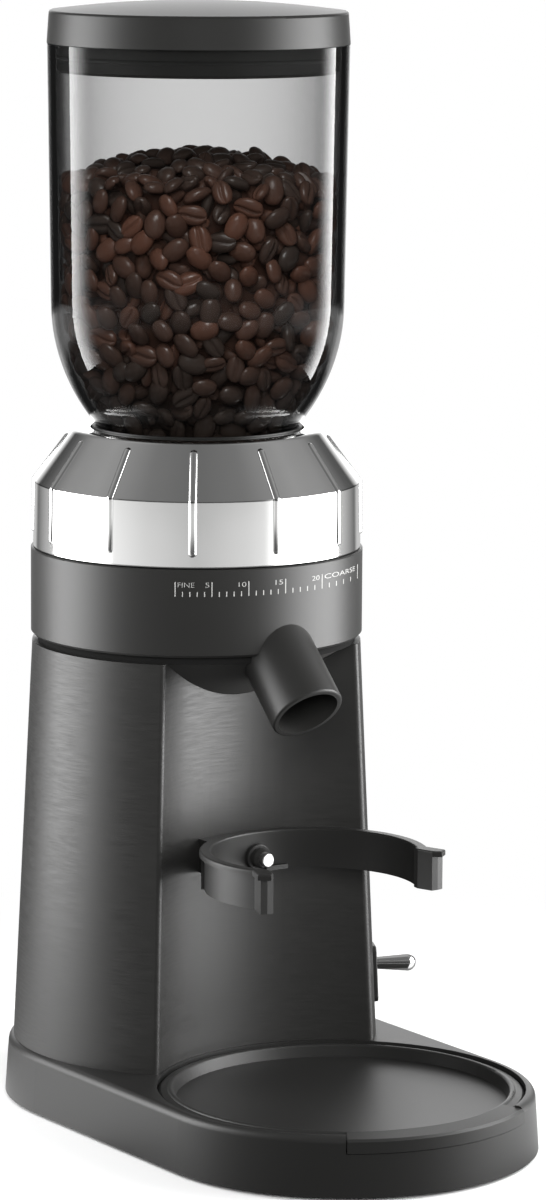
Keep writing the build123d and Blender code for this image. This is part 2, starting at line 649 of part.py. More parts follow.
# Cone burr: a fluted cone on the shaft
CONE_LOW_R, CONE_TOP_R = 24.0, 11.0
CONE_RIM = 1.5
FLUTES, FLUTE_DEEP, FLUTE_WIDE, FLUTE_TURN = 16, 3.0, 1.8, 16.0
cone_tall = BURR_TOP_Z - BURR_LOW_Z - CONE_RIM
cone_slope = math.degrees(math.atan2(CONE_LOW_R - CONE_TOP_R, cone_tall))


def cone_r(z):
    """Radius of the cone burr at a height."""
    return CONE_LOW_R - (CONE_LOW_R - CONE_TOP_R) * (z - BURR_LOW_Z - CONE_RIM) / cone_tall


flute_z = BURR_LOW_Z + CONE_RIM + cone_tall / 2
with BuildPart() as cone_burr:
    with BuildSketch(burr_side):
        with BuildLine():
            Polyline((JOURNAL_R, BURR_LOW_Z), (CONE_LOW_R, BURR_LOW_Z), (CONE_LOW_R, BURR_LOW_Z + CONE_RIM),
                     (CONE_TOP_R, BURR_TOP_Z), (JOURNAL_R, BURR_TOP_Z), close=True)
        make_face()
    revolve(axis=burr_axis)
    for step in range(FLUTES):
        turn = Location((0, BURR_Y, 0), (0, 0, 360 / FLUTES * step))
        with Locations(turn * Location((cone_r(flute_z) + 0.4, 0, flute_z), (FLUTE_TURN, -cone_slope, 0))):
            Box(FLUTE_DEEP, FLUTE_WIDE, 1.4 * cone_tall, mode=Mode.SUBTRACT)
cone_burr.part.label = "cone_burr"
export_step(cone_burr.part, "parts/cone_burr.step")

with BuildPart() as burr_nut:
    with BuildSketch(burr_floor.offset(BURR_TOP_Z)):
        RegularPolygon(NUT_R, 6)
        Circle(JOURNAL_R, mode=Mode.SUBTRACT)
    extrude(amount=NUT_TALL)
burr_nut.part.label = "burr_nut"
export_step(burr_nut.part, "parts/burr_nut.step")

# Ring burr: its toothed bore follows the cone, then opens to the throat
RING_BURR_R, RING_BURR_LOW_Z, RING_BURR_TOP_Z = 31.0, 205.0, 224.0
BURR_GAP = 1.1
BURR_SCREW_R, BURR_SCREW_LONG = 28.0, 9.5
TOOTH_GAPS, TOOTH_DEEP, TOOTH_WIDE, TOOTH_TURN = 20, 2.4, 1.6, -12.0
burr_screw_places = ring_of(BURR_SCREW_R, 90, 210, 330)
waist_z = RING_BURR_LOW_Z + 9
with BuildPart() as ring_burr:
    with BuildSketch(burr_side):
        with BuildLine():
            Polyline((cone_r(RING_BURR_LOW_Z) + BURR_GAP, RING_BURR_LOW_Z), (RING_BURR_R, RING_BURR_LOW_Z),
                     (RING_BURR_R, RING_BURR_TOP_Z), (cone_r(RING_BURR_TOP_Z) + 7, RING_BURR_TOP_Z),
                     (cone_r(waist_z) + BURR_GAP, waist_z), close=True)
        make_face()
    revolve(axis=burr_axis)
    for step in range(TOOTH_GAPS):
        turn = Location((0, BURR_Y, 0), (0, 0, 360 / TOOTH_GAPS * step))
        tooth_place = Location((cone_r(waist_z) + BURR_GAP + 0.2, 0, waist_z), (TOOTH_TURN, -cone_slope, 0))
        with Locations(turn * tooth_place):
            Box(TOOTH_DEEP, TOOTH_WIDE, 30, mode=Mode.SUBTRACT)
    with BuildSketch(burr_floor.offset(RING_BURR_TOP_Z + 2 - BURR_SCREW_LONG)):
        with Locations(*burr_screw_places):
            Circle(PILOT_R)
    extrude(amount=BURR_SCREW_LONG, mode=Mode.SUBTRACT)
ring_burr.part.label = "ring_burr"
export_step(ring_burr.part, "parts/ring_burr.step")

# Burr carrier: threads into the chamber and is turned by its three keys
CARRIER_LOW_Z, CARRIER_TOP_Z = 207.0, 245.5
KEY_R, KEY_LONG, KEY_WIDE, KEY_LOW_Z, KEY_TOP_Z = 48.4, 12.0, 8.0, 228.0, 242.0
KEY_END_GAP, KEY_SIDE_GAP = 0.7, 0.6
THROAT_R, THROAT_TOP_R = 22.0, 35.0
BURR_SCREW_SEAT = 3.0
carrier_r = CHAMBER_R - 0.3
with BuildPart() as burr_carrier:
    with BuildSketch(burr_floor.offset(KEY_LOW_Z)):
        with PolarLocations(KEY_R - KEY_LONG / 2, 3):
            Rectangle(KEY_LONG, KEY_WIDE)
    extrude(amount=KEY_TOP_Z - KEY_LOW_Z)
    with BuildSketch(burr_floor.offset(CARRIER_LOW_Z)):
        Circle(carrier_r)
    extrude(amount=CARRIER_TOP_Z - CARRIER_LOW_Z)
    with BuildSketch(burr_floor.offset(CARRIER_LOW_Z)):
        Circle(RING_BURR_R)
    extrude(amount=RING_BURR_TOP_Z - CARRIER_LOW_Z, mode=Mode.SUBTRACT)
    with BuildSketch(burr_side):
        with BuildLine():
            Polyline((0, RING_BURR_TOP_Z), (THROAT_R, RING_BURR_TOP_Z), (THROAT_R, RING_BURR_TOP_Z + 6),
                     (THROAT_TOP_R, CARRIER_TOP_Z), (0, CARRIER_TOP_Z), close=True)
        make_face()
    revolve(axis=burr_axis, mode=Mode.SUBTRACT)
    with BuildSketch(burr_floor.offset(RING_BURR_TOP_Z)):
        with Locations(*burr_screw_places):
            Circle(PILOT_R)
    extrude(amount=BURR_SCREW_SEAT, mode=Mode.SUBTRACT)
    with BuildSketch(burr_floor.offset(RING_BURR_TOP_Z + BURR_SCREW_SEAT)):
        with Locations(*burr_screw_places):
            Circle(3.0)
    extrude(amount=CARRIER_TOP_Z - RING_BURR_TOP_Z, mode=Mode.SUBTRACT)
burr_carrier.part.label = "burr_carrier"
export_step(burr_carrier.part, "parts/burr_carrier.step")

burr_screw = screw(2.7, 1.8, SCREW_R, BURR_SCREW_LONG)
with BuildPart() as burr_screws:
    with Locations(*[(x, BURR_Y + y, RING_BURR_TOP_Z + BURR_SCREW_SEAT) for x, y in burr_screw_places]):
        add(burr_screw)
burr_screws.part.label = "burr_screws"
export_step(burr_screws.part, "parts/burr_screws.step")

# One raised rib of the grind ring, about the Z axis towards +X
rib_low = (RING_LOW_R - RIB_SINK, RIB_LOW_Z)
rib_bend = (RING_BEND_R - RIB_SINK, RING_BEND_Z)
cone_lean = math.atan2(RING_SHOULDER_Z - RING_BEND_Z, RING_BEND_R - RING_TOP_R)
rib_rise = RIB_TOP_Z - RING_BEND_Z
rib_top = (RING_BEND_R - RIB_SINK - rib_rise / math.tan(cone_lean), RIB_TOP_Z)
with BuildPart() as rib:
    with BuildLine(Plane.XZ) as rib_line:
        Polyline(rib_low, rib_bend, rib_top)
    with BuildSketch(Plane((rib_low[0], 0, rib_low[1]))):
        Circle(RIB_R)
    sweep(transition=Transition.ROUND)
    with Locations((rib_low[0], 0, rib_low[1]), (rib_top[0], 0, rib_top[1])):
        Sphere(RIB_R)

# Grind ring: a chromed shell with twelve ribs
RING_ROUND = 1.6
ring_in_r = RING_BEND_R - RING_WALL
side_x, side_z = RING_WALL * math.sin(cone_lean), RING_WALL * math.cos(cone_lean)
ring_in_top = (RING_TOP_R - side_x, RING_SHOULDER_Z - side_z)
ring_in_bend = (ring_in_r, ring_in_top[1] - (ring_in_r - ring_in_top[0]) * math.tan(cone_lean))
with BuildPart(burr_floor) as grind_ring:
    with BuildSketch(burr_side):
        with BuildLine():
            Polyline((RING_LOW_R, RING_LOW_Z), (RING_BEND_R, RING_BEND_Z), (RING_TOP_R, RING_SHOULDER_Z),
                     (RING_TOP_R - RING_ROUND, RING_TOP_Z - 0.3), (RING_TOP_R - 2 * RING_ROUND, RING_TOP_Z),
                     (RING_MOUTH_R, RING_TOP_Z), (RING_MOUTH_R, ring_in_top[1]), ring_in_top, ring_in_bend,
                     (ring_in_r, RING_LOW_Z), close=True)
        make_face()
    revolve(axis=burr_axis)
    with PolarLocations(0, RIB_COUNT, start_angle=RIB_FIRST):
        add(rib.part)
grind_ring.part.label = "grind_ring"
export_step(grind_ring.part, "parts/grind_ring.step")

# Liner of the ring: holds the hopper's socket and drives the carrier's keys
LINER_IN_R, LINER_LOW_Z = 46.0, 224.5
SHELF_R, SHELF_LOW_Z, SHELF_Z = 36.5, 247.3, 250.5
SOCKET_R = RING_MOUTH_R + 0.3
with BuildPart(burr_floor) as ring_liner:
    with BuildSketch(burr_side):
        with BuildLine():
            Polyline((LINER_IN_R, LINER_LOW_Z), (ring_in_r, LINER_LOW_Z), ring_in_bend, ring_in_top,
                     (SOCKET_R, ring_in_top[1]), (SOCKET_R, SHELF_Z), (SHELF_R, SHELF_Z),
                     (SHELF_R, SHELF_LOW_Z), (LINER_IN_R, SHELF_LOW_Z), close=True)
        make_face()
    revolve(axis=burr_axis)
    with BuildSketch(burr_floor.offset(LINER_LOW_Z)):
        with PolarLocations(KEY_R + KEY_END_GAP - KEY_LONG / 2, 3):
            Rectangle(KEY_LONG, KEY_WIDE + 2 * KEY_SIDE_GAP)
    extrude(amount=SHELF_LOW_Z - LINER_LOW_Z, mode=Mode.SUBTRACT)
ring_liner.part.label = "ring_liner"
export_step(ring_liner.part, "parts/ring_liner.step")

# Glass hopper: nearly straight sides, a round shoulder and a neck
arc_middle = (SHOULDER_R - SHOULDER_ARC, SHOULDER_Z)


def shoulder(radius, neck_r):
    """Turn of a shoulder arc, in degrees, and the height where it meets the neck."""
    turn = math.acos((neck_r - arc_middle[0]) / radius)
    return math.degrees(turn), SHOULDER_Z - radius * math.sin(turn)


out_turn, out_neck_z = shoulder(SHOULDER_ARC, NECK_R)
in_turn, in_neck_z = shoulder(SHOULDER_ARC - GLASS, NECK_R - GLASS)
with BuildPart() as hopper_glass:
    with BuildSketch(burr_side):
        with BuildLine():
            Line((HOPPER_TOP_R, HOPPER_TOP_Z), (SHOULDER_R, SHOULDER_Z))
            CenterArc(arc_middle, SHOULDER_ARC, 0, -out_turn)
            Polyline((NECK_R, out_neck_z), (NECK_R, NECK_Z), (NECK_R - GLASS, NECK_Z),
                     (NECK_R - GLASS, in_neck_z))
            CenterArc(arc_middle, SHOULDER_ARC - GLASS, -in_turn, in_turn)
            Polyline((SHOULDER_R - GLASS, SHOULDER_Z), (HOPPER_TOP_R - GLASS, HOPPER_TOP_Z),
                     (HOPPER_TOP_R, HOPPER_TOP_Z))
        make_face()
    revolve(axis=burr_axis)
hopper_glass.part.label = "hopper_glass"
export_step(hopper_glass.part, "parts/hopper_glass.step")

# Neck ring of the hopper, with its sealing ring
NECK_RING_R, NECK_RING_LOW_Z, NECK_RING_TOP_Z = 41.6, 250.8, 270.9
NECK_SEAL_Z, NECK_SEAL_WIRE = 262.0, 1.2
seal_middle_r = SOCKET_R - 0.6 - NECK_SEAL_WIRE
with BuildPart() as hopper_neck_ring:
    with BuildSketch(burr_side):
        with BuildLine():
            Polyline((NECK_R - GLASS, NECK_RING_LOW_Z), (NECK_RING_R - 0.6, NECK_RING_LOW_Z),
                     (NECK_RING_R, NECK_RING_LOW_Z + 0.6), (NECK_RING_R, NECK_RING_TOP_Z),
                     (NECK_R + 1.8, NECK_RING_TOP_Z), (NECK_R, out_neck_z - 0.6), (NECK_R, NECK_Z),
                     (NECK_R - GLASS, NECK_Z), close=True)
        make_face()
        with Locations((seal_middle_r, NECK_SEAL_Z)):
            Circle(NECK_SEAL_WIRE, mode=Mode.SUBTRACT)
    revolve(axis=burr_axis)
hopper_neck_ring.part.label = "hopper_neck_ring"
export_step(hopper_neck_ring.part, "parts/hopper_neck_ring.step")

with BuildPart() as hopper_seal:
    with BuildSketch(burr_side):
        with Locations((seal_middle_r, NECK_SEAL_Z)):
            Circle(NECK_SEAL_WIRE)
    revolve(axis=burr_axis)
hopper_seal.part.label = "hopper_seal"
export_step(hopper_seal.part, "parts/hopper_seal.step")

# Lid: a domed cap, a plug that fits the glass, and its sealing ring
LID_WALL = 2.5
LID_SEAL_Z, LID_SEAL_WIRE = 416.0, 1.1
lid_seal_r = HOPPER_TOP_R - GLASS - 0.35 - LID_SEAL_WIRE
lid_edge = (LID_RIM_R - 1.4, LID_RIM_Z + 1.1)
lid_side = (LID_RIM_R - LID_LOW_R, LID_RIM_Z - LID_LOW_Z)
cap_in_r = LID_RIM_R - LID_WALL
with BuildPart() as lid_cap:
    with BuildSketch(burr_side):
        with BuildLine():
            Polyline((cap_in_r, LID_LOW_Z), (LID_LOW_R, LID_LOW_Z), (LID_RIM_R, LID_RIM_Z))
            TangentArc((LID_RIM_R, LID_RIM_Z), lid_edge, tangent=lid_side)
            TangentArc((0, LID_TOP_Z), lid_edge, tangent=(1, 0))
            Polyline((0, LID_TOP_Z), (0, LID_RIM_Z - 1), (cap_in_r, LID_RIM_Z - 1), (cap_in_r, LID_LOW_Z))
        make_face()
    revolve(axis=burr_axis)
lid_cap.part.label = "lid_cap"
export_step(lid_cap.part, "parts/lid_cap.step")

with BuildPart() as lid_plug:
    with BuildSketch(burr_side):
        with BuildLine():
            Polyline((0, PLUG_Z), (PLUG_R - 1.2, PLUG_Z), (PLUG_R, PLUG_Z + 1.2), (PLUG_R, LID_LOW_Z),
                     (cap_in_r, LID_LOW_Z), (cap_in_r, LID_RIM_Z - 1), (PLUG_R - LID_WALL, LID_RIM_Z - 1),
                     (PLUG_R - LID_WALL, PLUG_Z + LID_WALL), (0, PLUG_Z + LID_WALL), close=True)
        make_face()
        with Locations((lid_seal_r, LID_SEAL_Z)):
            Circle(LID_SEAL_WIRE, mode=Mode.SUBTRACT)
    revolve(axis=burr_axis)
lid_plug.part.label = "lid_plug"
export_step(lid_plug.part, "parts/lid_plug.step")

with BuildPart() as lid_seal:
    with BuildSketch(burr_side):
        with Locations((lid_seal_r, LID_SEAL_Z)):
            Circle(LID_SEAL_WIRE)
    revolve(axis=burr_axis)
lid_seal.part.label = "lid_seal"
export_step(lid_seal.part, "parts/lid_seal.step")

# Portafilter fork: a wall and flange open to the front, on a bracket
TIP_LONG, TIP_FLARE, TIP_WIDE, TIP_OVERHANG = 6.6, 2.2, 5.4, 2.6
LEDGE_HALF, LEDGE_DEEP, LEDGE_TALL = 13.0, 3.0, 1.8
BRACKET_DEEP = 26.0
FIN_WIDE, FIN_R = 1.8, 43.8
FLANGE_ROUND = 0.8
wall_tall = FORK_TOP_Z - FLANGE_THICK - FORK_LOW_Z
gap_turn = math.radians(FORK_HALF_GAP)
gap_x, gap_y = 2 * FORK_R * math.sin(gap_turn), 2 * FORK_R * math.cos(gap_turn)
gap_points = [(0, 0), (-gap_x, -gap_y), (-gap_x, -3 * FORK_R), (gap_x, -3 * FORK_R), (gap_x, -gap_y)]


def tip_points(side, overhang):
    """Outline of one arm's flared tip; the flange's tip hangs over by a little."""
    x, y = gap_x / 2, -gap_y / 2
    right = [(x, y), (x + TIP_FLARE, y - TIP_LONG), (x + TIP_FLARE + TIP_WIDE / 2, y - TIP_LONG - overhang),
             (x + TIP_FLARE + TIP_WIDE + overhang / 2, y - TIP_LONG + 0.6),
             (x + TIP_WIDE - 1 + overhang / 2, y + 3), (x + 0.5, y + 3)]
    return [(side * across, along) for across, along in right]


with BuildPart() as fork:
    with BuildSketch(fork_floor.offset(FORK_LOW_Z)):
        Circle(FORK_R + FORK_WALL)
        for fin in ring_of(FIN_R - FORK_WALL, 33, 147):
            with Locations(Location((*fin, 0), (0, 0, math.degrees(math.atan2(fin[1], fin[0]))))):
                Rectangle(2 * FORK_WALL, FIN_WIDE)
        with Locations((0, FORK_R + BRACKET_DEEP / 2 - 3)):
            Rectangle(2 * BRACKET_HALF, BRACKET_DEEP)
        Circle(FORK_R, mode=Mode.SUBTRACT)
        with BuildLine():
            Polyline(*gap_points, close=True)
        make_face(mode=Mode.SUBTRACT)
        for side in (-1, 1):
            with BuildLine():
                Polyline(*tip_points(side, 0), close=True)
            make_face()
    extrude(amount=wall_tall)
    with BuildSketch(fork_floor.offset(FORK_TOP_Z - FLANGE_THICK)):
        Circle(FLANGE_R)
        Circle(FORK_R, mode=Mode.SUBTRACT)
        with BuildLine():
            Polyline(*gap_points, close=True)
        make_face(mode=Mode.SUBTRACT)
        for side in (-1, 1):
            with BuildLine():
                Polyline(*tip_points(side, TIP_OVERHANG), close=True)
            make_face()
    extrude(amount=FLANGE_THICK)
    fillet(fork.faces().sort_by(Axis.Z)[-1].edges(), FLANGE_ROUND)
    with BuildSketch(fork_floor.offset(FORK_LOW_Z)):
        with Locations((0, FORK_R)):
            Rectangle(2 * LEDGE_HALF, 2 * LEDGE_DEEP)
        Circle(FORK_R - LEDGE_DEEP, mode=Mode.SUBTRACT)
    extrude(amount=LEDGE_TALL)
    # Back of the bracket, fitted to the scoop, then its holes
    with BuildSketch(tray_floor.offset(FORK_LOW_Z - 1)):
        Circle(2 * SCOOP_R)
        Circle(SCOOP_R, mode=Mode.SUBTRACT)
    extrude(amount=FORK_TOP_Z, mode=Mode.SUBTRACT)
    with BuildSketch(button_plane):
        Circle(BUSH_FLANGE_R)
    extrude(amount=BUSH_SEAT_Y, mode=Mode.SUBTRACT)
    with BuildSketch(button_plane):
        Circle(BUSH_R)
    extrude(amount=BRACKET_DEEP, mode=Mode.SUBTRACT)
    with BuildSketch(button_plane.offset(FORK_SCREW_Y - FORK_SCREW_LONG - 1)):
        with Locations(*fork_screw_places):
            Circle(PILOT_R)
    extrude(amount=FORK_SCREW_LONG + 2, mode=Mode.SUBTRACT)
fork.part.label = "fork"
export_step(fork.part, "parts/fork.step")

fork_screw = screw(3.2, 2.4, SCREW_R, FORK_SCREW_LONG)
with BuildPart() as fork_screws:
    with Locations(*[Location((x, FORK_SCREW_Y, BUTTON_Z), (-90, 0, 0)) for x, _ in fork_screw_places]):
        add(fork_screw)
fork_screws.part.label = "fork_screws"
export_step(fork_screws.part, "parts/fork_screws.step")

# Button that the portafilter presses: bush, plunger, tip, spring and switch
PLUNGER_FRONT_Y, PLUNGER_STOP_Y, PLUNGER_BACK_Y = 2.2, 24.6, 35.2
STOP_R, STOP_THICK, ROD_R, SPRING_R = 5.6, 1.6, 1.8, 4.4
SWITCH_Y, SWITCH_DEEP, SWITCH_HALF_X, SWITCH_TALL = 38.6, 10.4, 10.0, 16.0
stop_back_y = PLUNGER_STOP_Y + STOP_THICK
button_side = Plane((0, 0, BUTTON_Z), x_dir=(0, 1, 0), z_dir=(1, 0, 0))
button_axis = Axis((0, 0, BUTTON_Z), (0, 1, 0))

with BuildPart() as button_bush:
    with BuildSketch(button_plane.offset(BUSH_FRONT_Y)):
        Circle(BUSH_FLANGE_R)
    extrude(amount=BUSH_SEAT_Y - BUSH_FRONT_Y)
    fillet(button_bush.edges().group_by(Axis.Y)[0], 0.6)
    with BuildSketch(button_plane.offset(BUSH_SEAT_Y)):
        Circle(BUSH_R)
    extrude(amount=BUSH_BACK_Y - BUSH_SEAT_Y)
    with BuildSketch(button_plane):
        Circle(BUTTON_R + 0.06)
    extrude(amount=40, mode=Mode.SUBTRACT)
button_bush.part.label = "button_bush"
export_step(button_bush.part, "parts/button_bush.step")

with BuildPart() as button_plunger:
    with BuildSketch(button_side):
        with BuildLine():
            Polyline((PLUNGER_FRONT_Y, 0), (PLUNGER_FRONT_Y, TIP_R + 0.3),
                     (PLUNGER_FRONT_Y + 1.6, BUTTON_R), (PLUNGER_STOP_Y, BUTTON_R), (PLUNGER_STOP_Y, STOP_R),
                     (stop_back_y, STOP_R), (stop_back_y, ROD_R), (PLUNGER_BACK_Y, ROD_R),
                     (PLUNGER_BACK_Y, 0), close=True)
        make_face()
    revolve(axis=button_axis)
button_plunger.part.label = "button_plunger"
export_step(button_plunger.part, "parts/button_plunger.step")

with BuildPart() as button_tip:
    with BuildSketch(button_plane.offset(TIP_Y)):
        Circle(TIP_R)
    extrude(amount=PLUNGER_FRONT_Y - TIP_Y)
    fillet(button_tip.edges().group_by(Axis.Y)[0], 0.5)
button_tip.part.label = "button_tip"
export_step(button_tip.part, "parts/button_tip.step")

with BuildPart() as button_spring:
    with BuildSketch(button_plane.offset(stop_back_y + 0.1)):
        Circle(SPRING_R)
        Circle(ROD_R + 0.6, mode=Mode.SUBTRACT)
    extrude(amount=SWITCH_Y - stop_back_y - 0.2)
button_spring.part.label = "button_spring"
export_step(button_spring.part, "parts/button_spring.step")

with BuildPart() as microswitch:
    with Locations((0, SWITCH_Y + SWITCH_DEEP / 2, BUTTON_Z)):
        Box(2 * SWITCH_HALF_X, SWITCH_DEEP, SWITCH_TALL)
    fillet(microswitch.edges().filter_by(Axis.Z), 0.8)
microswitch.part.label = "microswitch"
export_step(microswitch.part, "parts/microswitch.step")

BRACKET_SHEET = 1.6
bracket_back_y = SWITCH_Y + SWITCH_DEEP
with BuildPart() as switch_bracket:
    with BuildSketch(Plane.XY.offset(BUTTON_Z - SWITCH_TALL / 2)):
        with Locations((0, bracket_back_y + BRACKET_SHEET)):
            Rectangle(2 * (SWITCH_HALF_X + BRACKET_SHEET), 40, align=(Align.CENTER, Align.MAX))
        with Locations((0, bracket_back_y)):
            Rectangle(2 * SWITCH_HALF_X, 60, align=(Align.CENTER, Align.MAX), mode=Mode.SUBTRACT)
        with Locations((0, TRAY_Y)):
            Circle(SCOOP_R + COLUMN_WALL, mode=Mode.SUBTRACT)
    extrude(amount=SWITCH_TALL)
switch_bracket.part.label = "switch_bracket"
export_step(switch_bracket.part, "parts/switch_bracket.step")

# Toggle switch: plate, body with its bush, lock nut and lever
PLATE_WIDE, PLATE_TALL, PLATE_OUT, PLATE_DROP = 12.0, 23.0, 1.5, 3.7
BODY_IN, BODY_OUT, BODY_WIDE, BODY_TALL = 46.0, 63.0, 13.0, 20.0
LEVER_BORE_R, LEVER_MOUTH_R, BALL_R = 3.4, 4.4, 3.2
wall_lean = math.atan2(COLUMN_LOW_R - COLUMN_TOP_R, COLUMN_TOP_Z - DECK_Z)
wall_out = column_r(TOGGLE_Z)
wall_normal = toggle_out * math.cos(wall_lean) + Vector(0, 0, math.sin(wall_lean))
wall_point = Vector(0, BURR_Y, TOGGLE_Z) + toggle_out * wall_out
plate_plane = Plane(wall_point, x_dir=toggle_along, z_dir=wall_normal)
bush_out = wall_out + PLATE_OUT
toggle_side = Plane((0, BURR_Y, TOGGLE_Z), x_dir=toggle_out, z_dir=-toggle_along)

with BuildPart() as toggle_plate:
    with BuildSketch(plate_plane.offset(-1)):
        with Locations((0, -PLATE_DROP)):
            RectangleRounded(PLATE_WIDE, PLATE_TALL, 2.4)
    extrude(amount=PLATE_OUT + 1)
    fillet(toggle_plate.faces().sort_by(Axis(wall_point, wall_normal))[-1].edges(), 0.5)
    with BuildSketch(burr_side):
        with BuildLine():
            Polyline((0, DECK_Z), (COLUMN_LOW_R, DECK_Z), (COLUMN_TOP_R, COLUMN_TOP_Z), (0, COLUMN_TOP_Z),
                     close=True)
        make_face()
    revolve(axis=burr_axis, mode=Mode.SUBTRACT)
    with BuildSketch(toggle_plane.offset(60)):
        Circle(TOGGLE_BUSH_R)
    extrude(amount=20, mode=Mode.SUBTRACT)
toggle_plate.part.label = "toggle_plate"
export_step(toggle_plate.part, "parts/toggle_plate.step")

with BuildPart() as toggle_body:
    with BuildSketch(toggle_plane.offset(BODY_IN)):
        Rectangle(BODY_WIDE, BODY_TALL)
    extrude(amount=BODY_OUT - BODY_IN)
    with BuildSketch(toggle_plane.offset(BODY_OUT)):
        Circle(TOGGLE_BUSH_R)
    extrude(amount=bush_out - BODY_OUT)
    with BuildSketch(toggle_side):
        with BuildLine():
            Polyline((BODY_OUT, 0), (BODY_OUT, LEVER_BORE_R), (PIVOT_OUT, LEVER_BORE_R),
                     (bush_out, LEVER_MOUTH_R), (bush_out, 0), close=True)
        make_face()
    revolve(axis=Axis((0, BURR_Y, TOGGLE_Z), toggle_out), mode=Mode.SUBTRACT)
toggle_body.part.label = "toggle_body"
export_step(toggle_body.part, "parts/toggle_body.step")

with BuildPart() as toggle_nut:
    with BuildSketch(toggle_plane.offset(BODY_OUT + 2.8)):
        RegularPolygon(TOGGLE_NUT_R, 6)
        Circle(TOGGLE_BUSH_R, mode=Mode.SUBTRACT)
    extrude(amount=2.4)
toggle_nut.part.label = "toggle_nut"
export_step(toggle_nut.part, "parts/toggle_nut.step")

lever_pivot = Vector(0, BURR_Y, TOGGLE_Z) + toggle_out * PIVOT_OUT
lever_side = Plane(lever_pivot, x_dir=toggle_out, z_dir=-toggle_along)
ball_turn = math.asin(LEVER_ROOT_R / BALL_R)
with BuildPart() as toggle_lever:
    with BuildSketch(lever_side):
        with BuildLine():
            CenterArc((0, 0), BALL_R, 180, math.degrees(ball_turn) - 180)
            Line((BALL_R * math.cos(ball_turn), LEVER_ROOT_R), (LEVER_LONG - LEVER_TIP_R, LEVER_TIP_R))
            CenterArc((LEVER_LONG - LEVER_TIP_R, 0), LEVER_TIP_R, 90, -90)
            Line((LEVER_LONG, 0), (-BALL_R, 0))
        make_face()
    revolve(axis=Axis(lever_pivot, toggle_out))
toggle_lever.part.label = "toggle_lever"
export_step(toggle_lever.part, "parts/toggle_lever.step")

# Motor, hung under the gear case
CAN_WALL, CAN_TOP, CAP_THICK, CAP_BUSH_R = 2.0, 4.0, 4.0, 5.0
STATOR_IN_R, ROTOR_R, COMMUTATOR_R = 21.6, 21.0, 9.0
COMMUTATOR_TALL = 11.0
ROTOR_SLOTS, ROTOR_SLOT = 12, (6.0, 2.4)
STATOR_LOW_Z, STATOR_TOP_Z = 86.0, 136.0
cap_low_z = MOTOR_LOW_Z - CAP_THICK
with BuildPart() as motor_can:
    with BuildSketch(motor_floor.offset(MOTOR_LOW_Z)):
        Circle(MOTOR_R)
    extrude(amount=MOTOR_TOP_Z - MOTOR_LOW_Z)
    with BuildSketch(motor_floor.offset(MOTOR_LOW_Z)):
        Circle(MOTOR_R - CAN_WALL)
    extrude(amount=MOTOR_TOP_Z - CAN_TOP - MOTOR_LOW_Z, mode=Mode.SUBTRACT)
    with BuildSketch(motor_floor.offset(MOTOR_TOP_Z - CAN_TOP)):
        Circle(MOTOR_BUSH_R)
        with Locations(*[(x, 0) for x, _ in motor_screw_places]):
            Circle(PILOT_R)
    extrude(amount=CAN_TOP, mode=Mode.SUBTRACT)
motor_can.part.label = "motor_can"
export_step(motor_can.part, "parts/motor_can.step")

with BuildPart() as motor_cap:
    with BuildSketch(motor_floor.offset(cap_low_z)):
        Circle(MOTOR_R)
        Circle(CAP_BUSH_R, mode=Mode.SUBTRACT)
    extrude(amount=CAP_THICK)
motor_cap.part.label = "motor_cap"
export_step(motor_cap.part, "parts/motor_cap.step")

with BuildPart() as motor_bushes:
    with BuildSketch(motor_floor.offset(MOTOR_TOP_Z - CAN_TOP)):
        Circle(MOTOR_BUSH_R)
        Circle(MOTOR_SHAFT_R + RUN_GAP, mode=Mode.SUBTRACT)
    extrude(amount=CAN_TOP + CASE_FLOOR)
    with BuildSketch(motor_floor.offset(cap_low_z)):
        Circle(CAP_BUSH_R)
        Circle(MOTOR_SHAFT_R + RUN_GAP, mode=Mode.SUBTRACT)
    extrude(amount=CAP_THICK)
motor_bushes.part.label = "motor_bushes"
export_step(motor_bushes.part, "parts/motor_bushes.step")

with BuildPart() as motor_stator:
    with BuildSketch(motor_floor.offset(STATOR_LOW_Z)):
        Circle(MOTOR_R - CAN_WALL)
        Circle(STATOR_IN_R, mode=Mode.SUBTRACT)
    extrude(amount=STATOR_TOP_Z - STATOR_LOW_Z)
motor_stator.part.label = "motor_stator"
export_step(motor_stator.part, "parts/motor_stator.step")

with BuildPart() as motor_rotor:
    with BuildSketch(motor_floor.offset(STATOR_LOW_Z)):
        Circle(ROTOR_R)
        with PolarLocations(ROTOR_R - 1.5, ROTOR_SLOTS):
            Rectangle(*ROTOR_SLOT, mode=Mode.SUBTRACT)
    extrude(amount=STATOR_TOP_Z - STATOR_LOW_Z)
    with BuildSketch(motor_floor.offset(STATOR_LOW_Z - COMMUTATOR_TALL)):
        Circle(COMMUTATOR_R)
    extrude(amount=COMMUTATOR_TALL)
    with BuildSketch(motor_floor.offset(MOTOR_LOW_Z)):
        Circle(MOTOR_SHAFT_R)
    extrude(amount=MOTOR_TOP_Z - MOTOR_LOW_Z, mode=Mode.SUBTRACT)
motor_rotor.part.label = "motor_rotor"
export_step(motor_rotor.part, "parts/motor_rotor.step")

with BuildPart() as motor_shaft:
    with BuildSketch(motor_floor.offset(cap_low_z + 0.5)):
        Circle(MOTOR_SHAFT_R)
    extrude(amount=GEAR_Z + GEAR_FACE + 0.5 - cap_low_z - 0.5)
motor_shaft.part.label = "motor_shaft"
export_step(motor_shaft.part, "parts/motor_shaft.step")

with BuildPart() as motor_pinion:
    with BuildSketch(motor_floor.offset(GEAR_Z - 0.5)):
        with BuildLine():
            gear_outline(PINION_TEETH)
        make_face()
        Circle(MOTOR_SHAFT_R, mode=Mode.SUBTRACT)
    extrude(amount=GEAR_FACE + 1)
motor_pinion.part.label = "motor_pinion"
export_step(motor_pinion.part, "parts/motor_pinion.step")

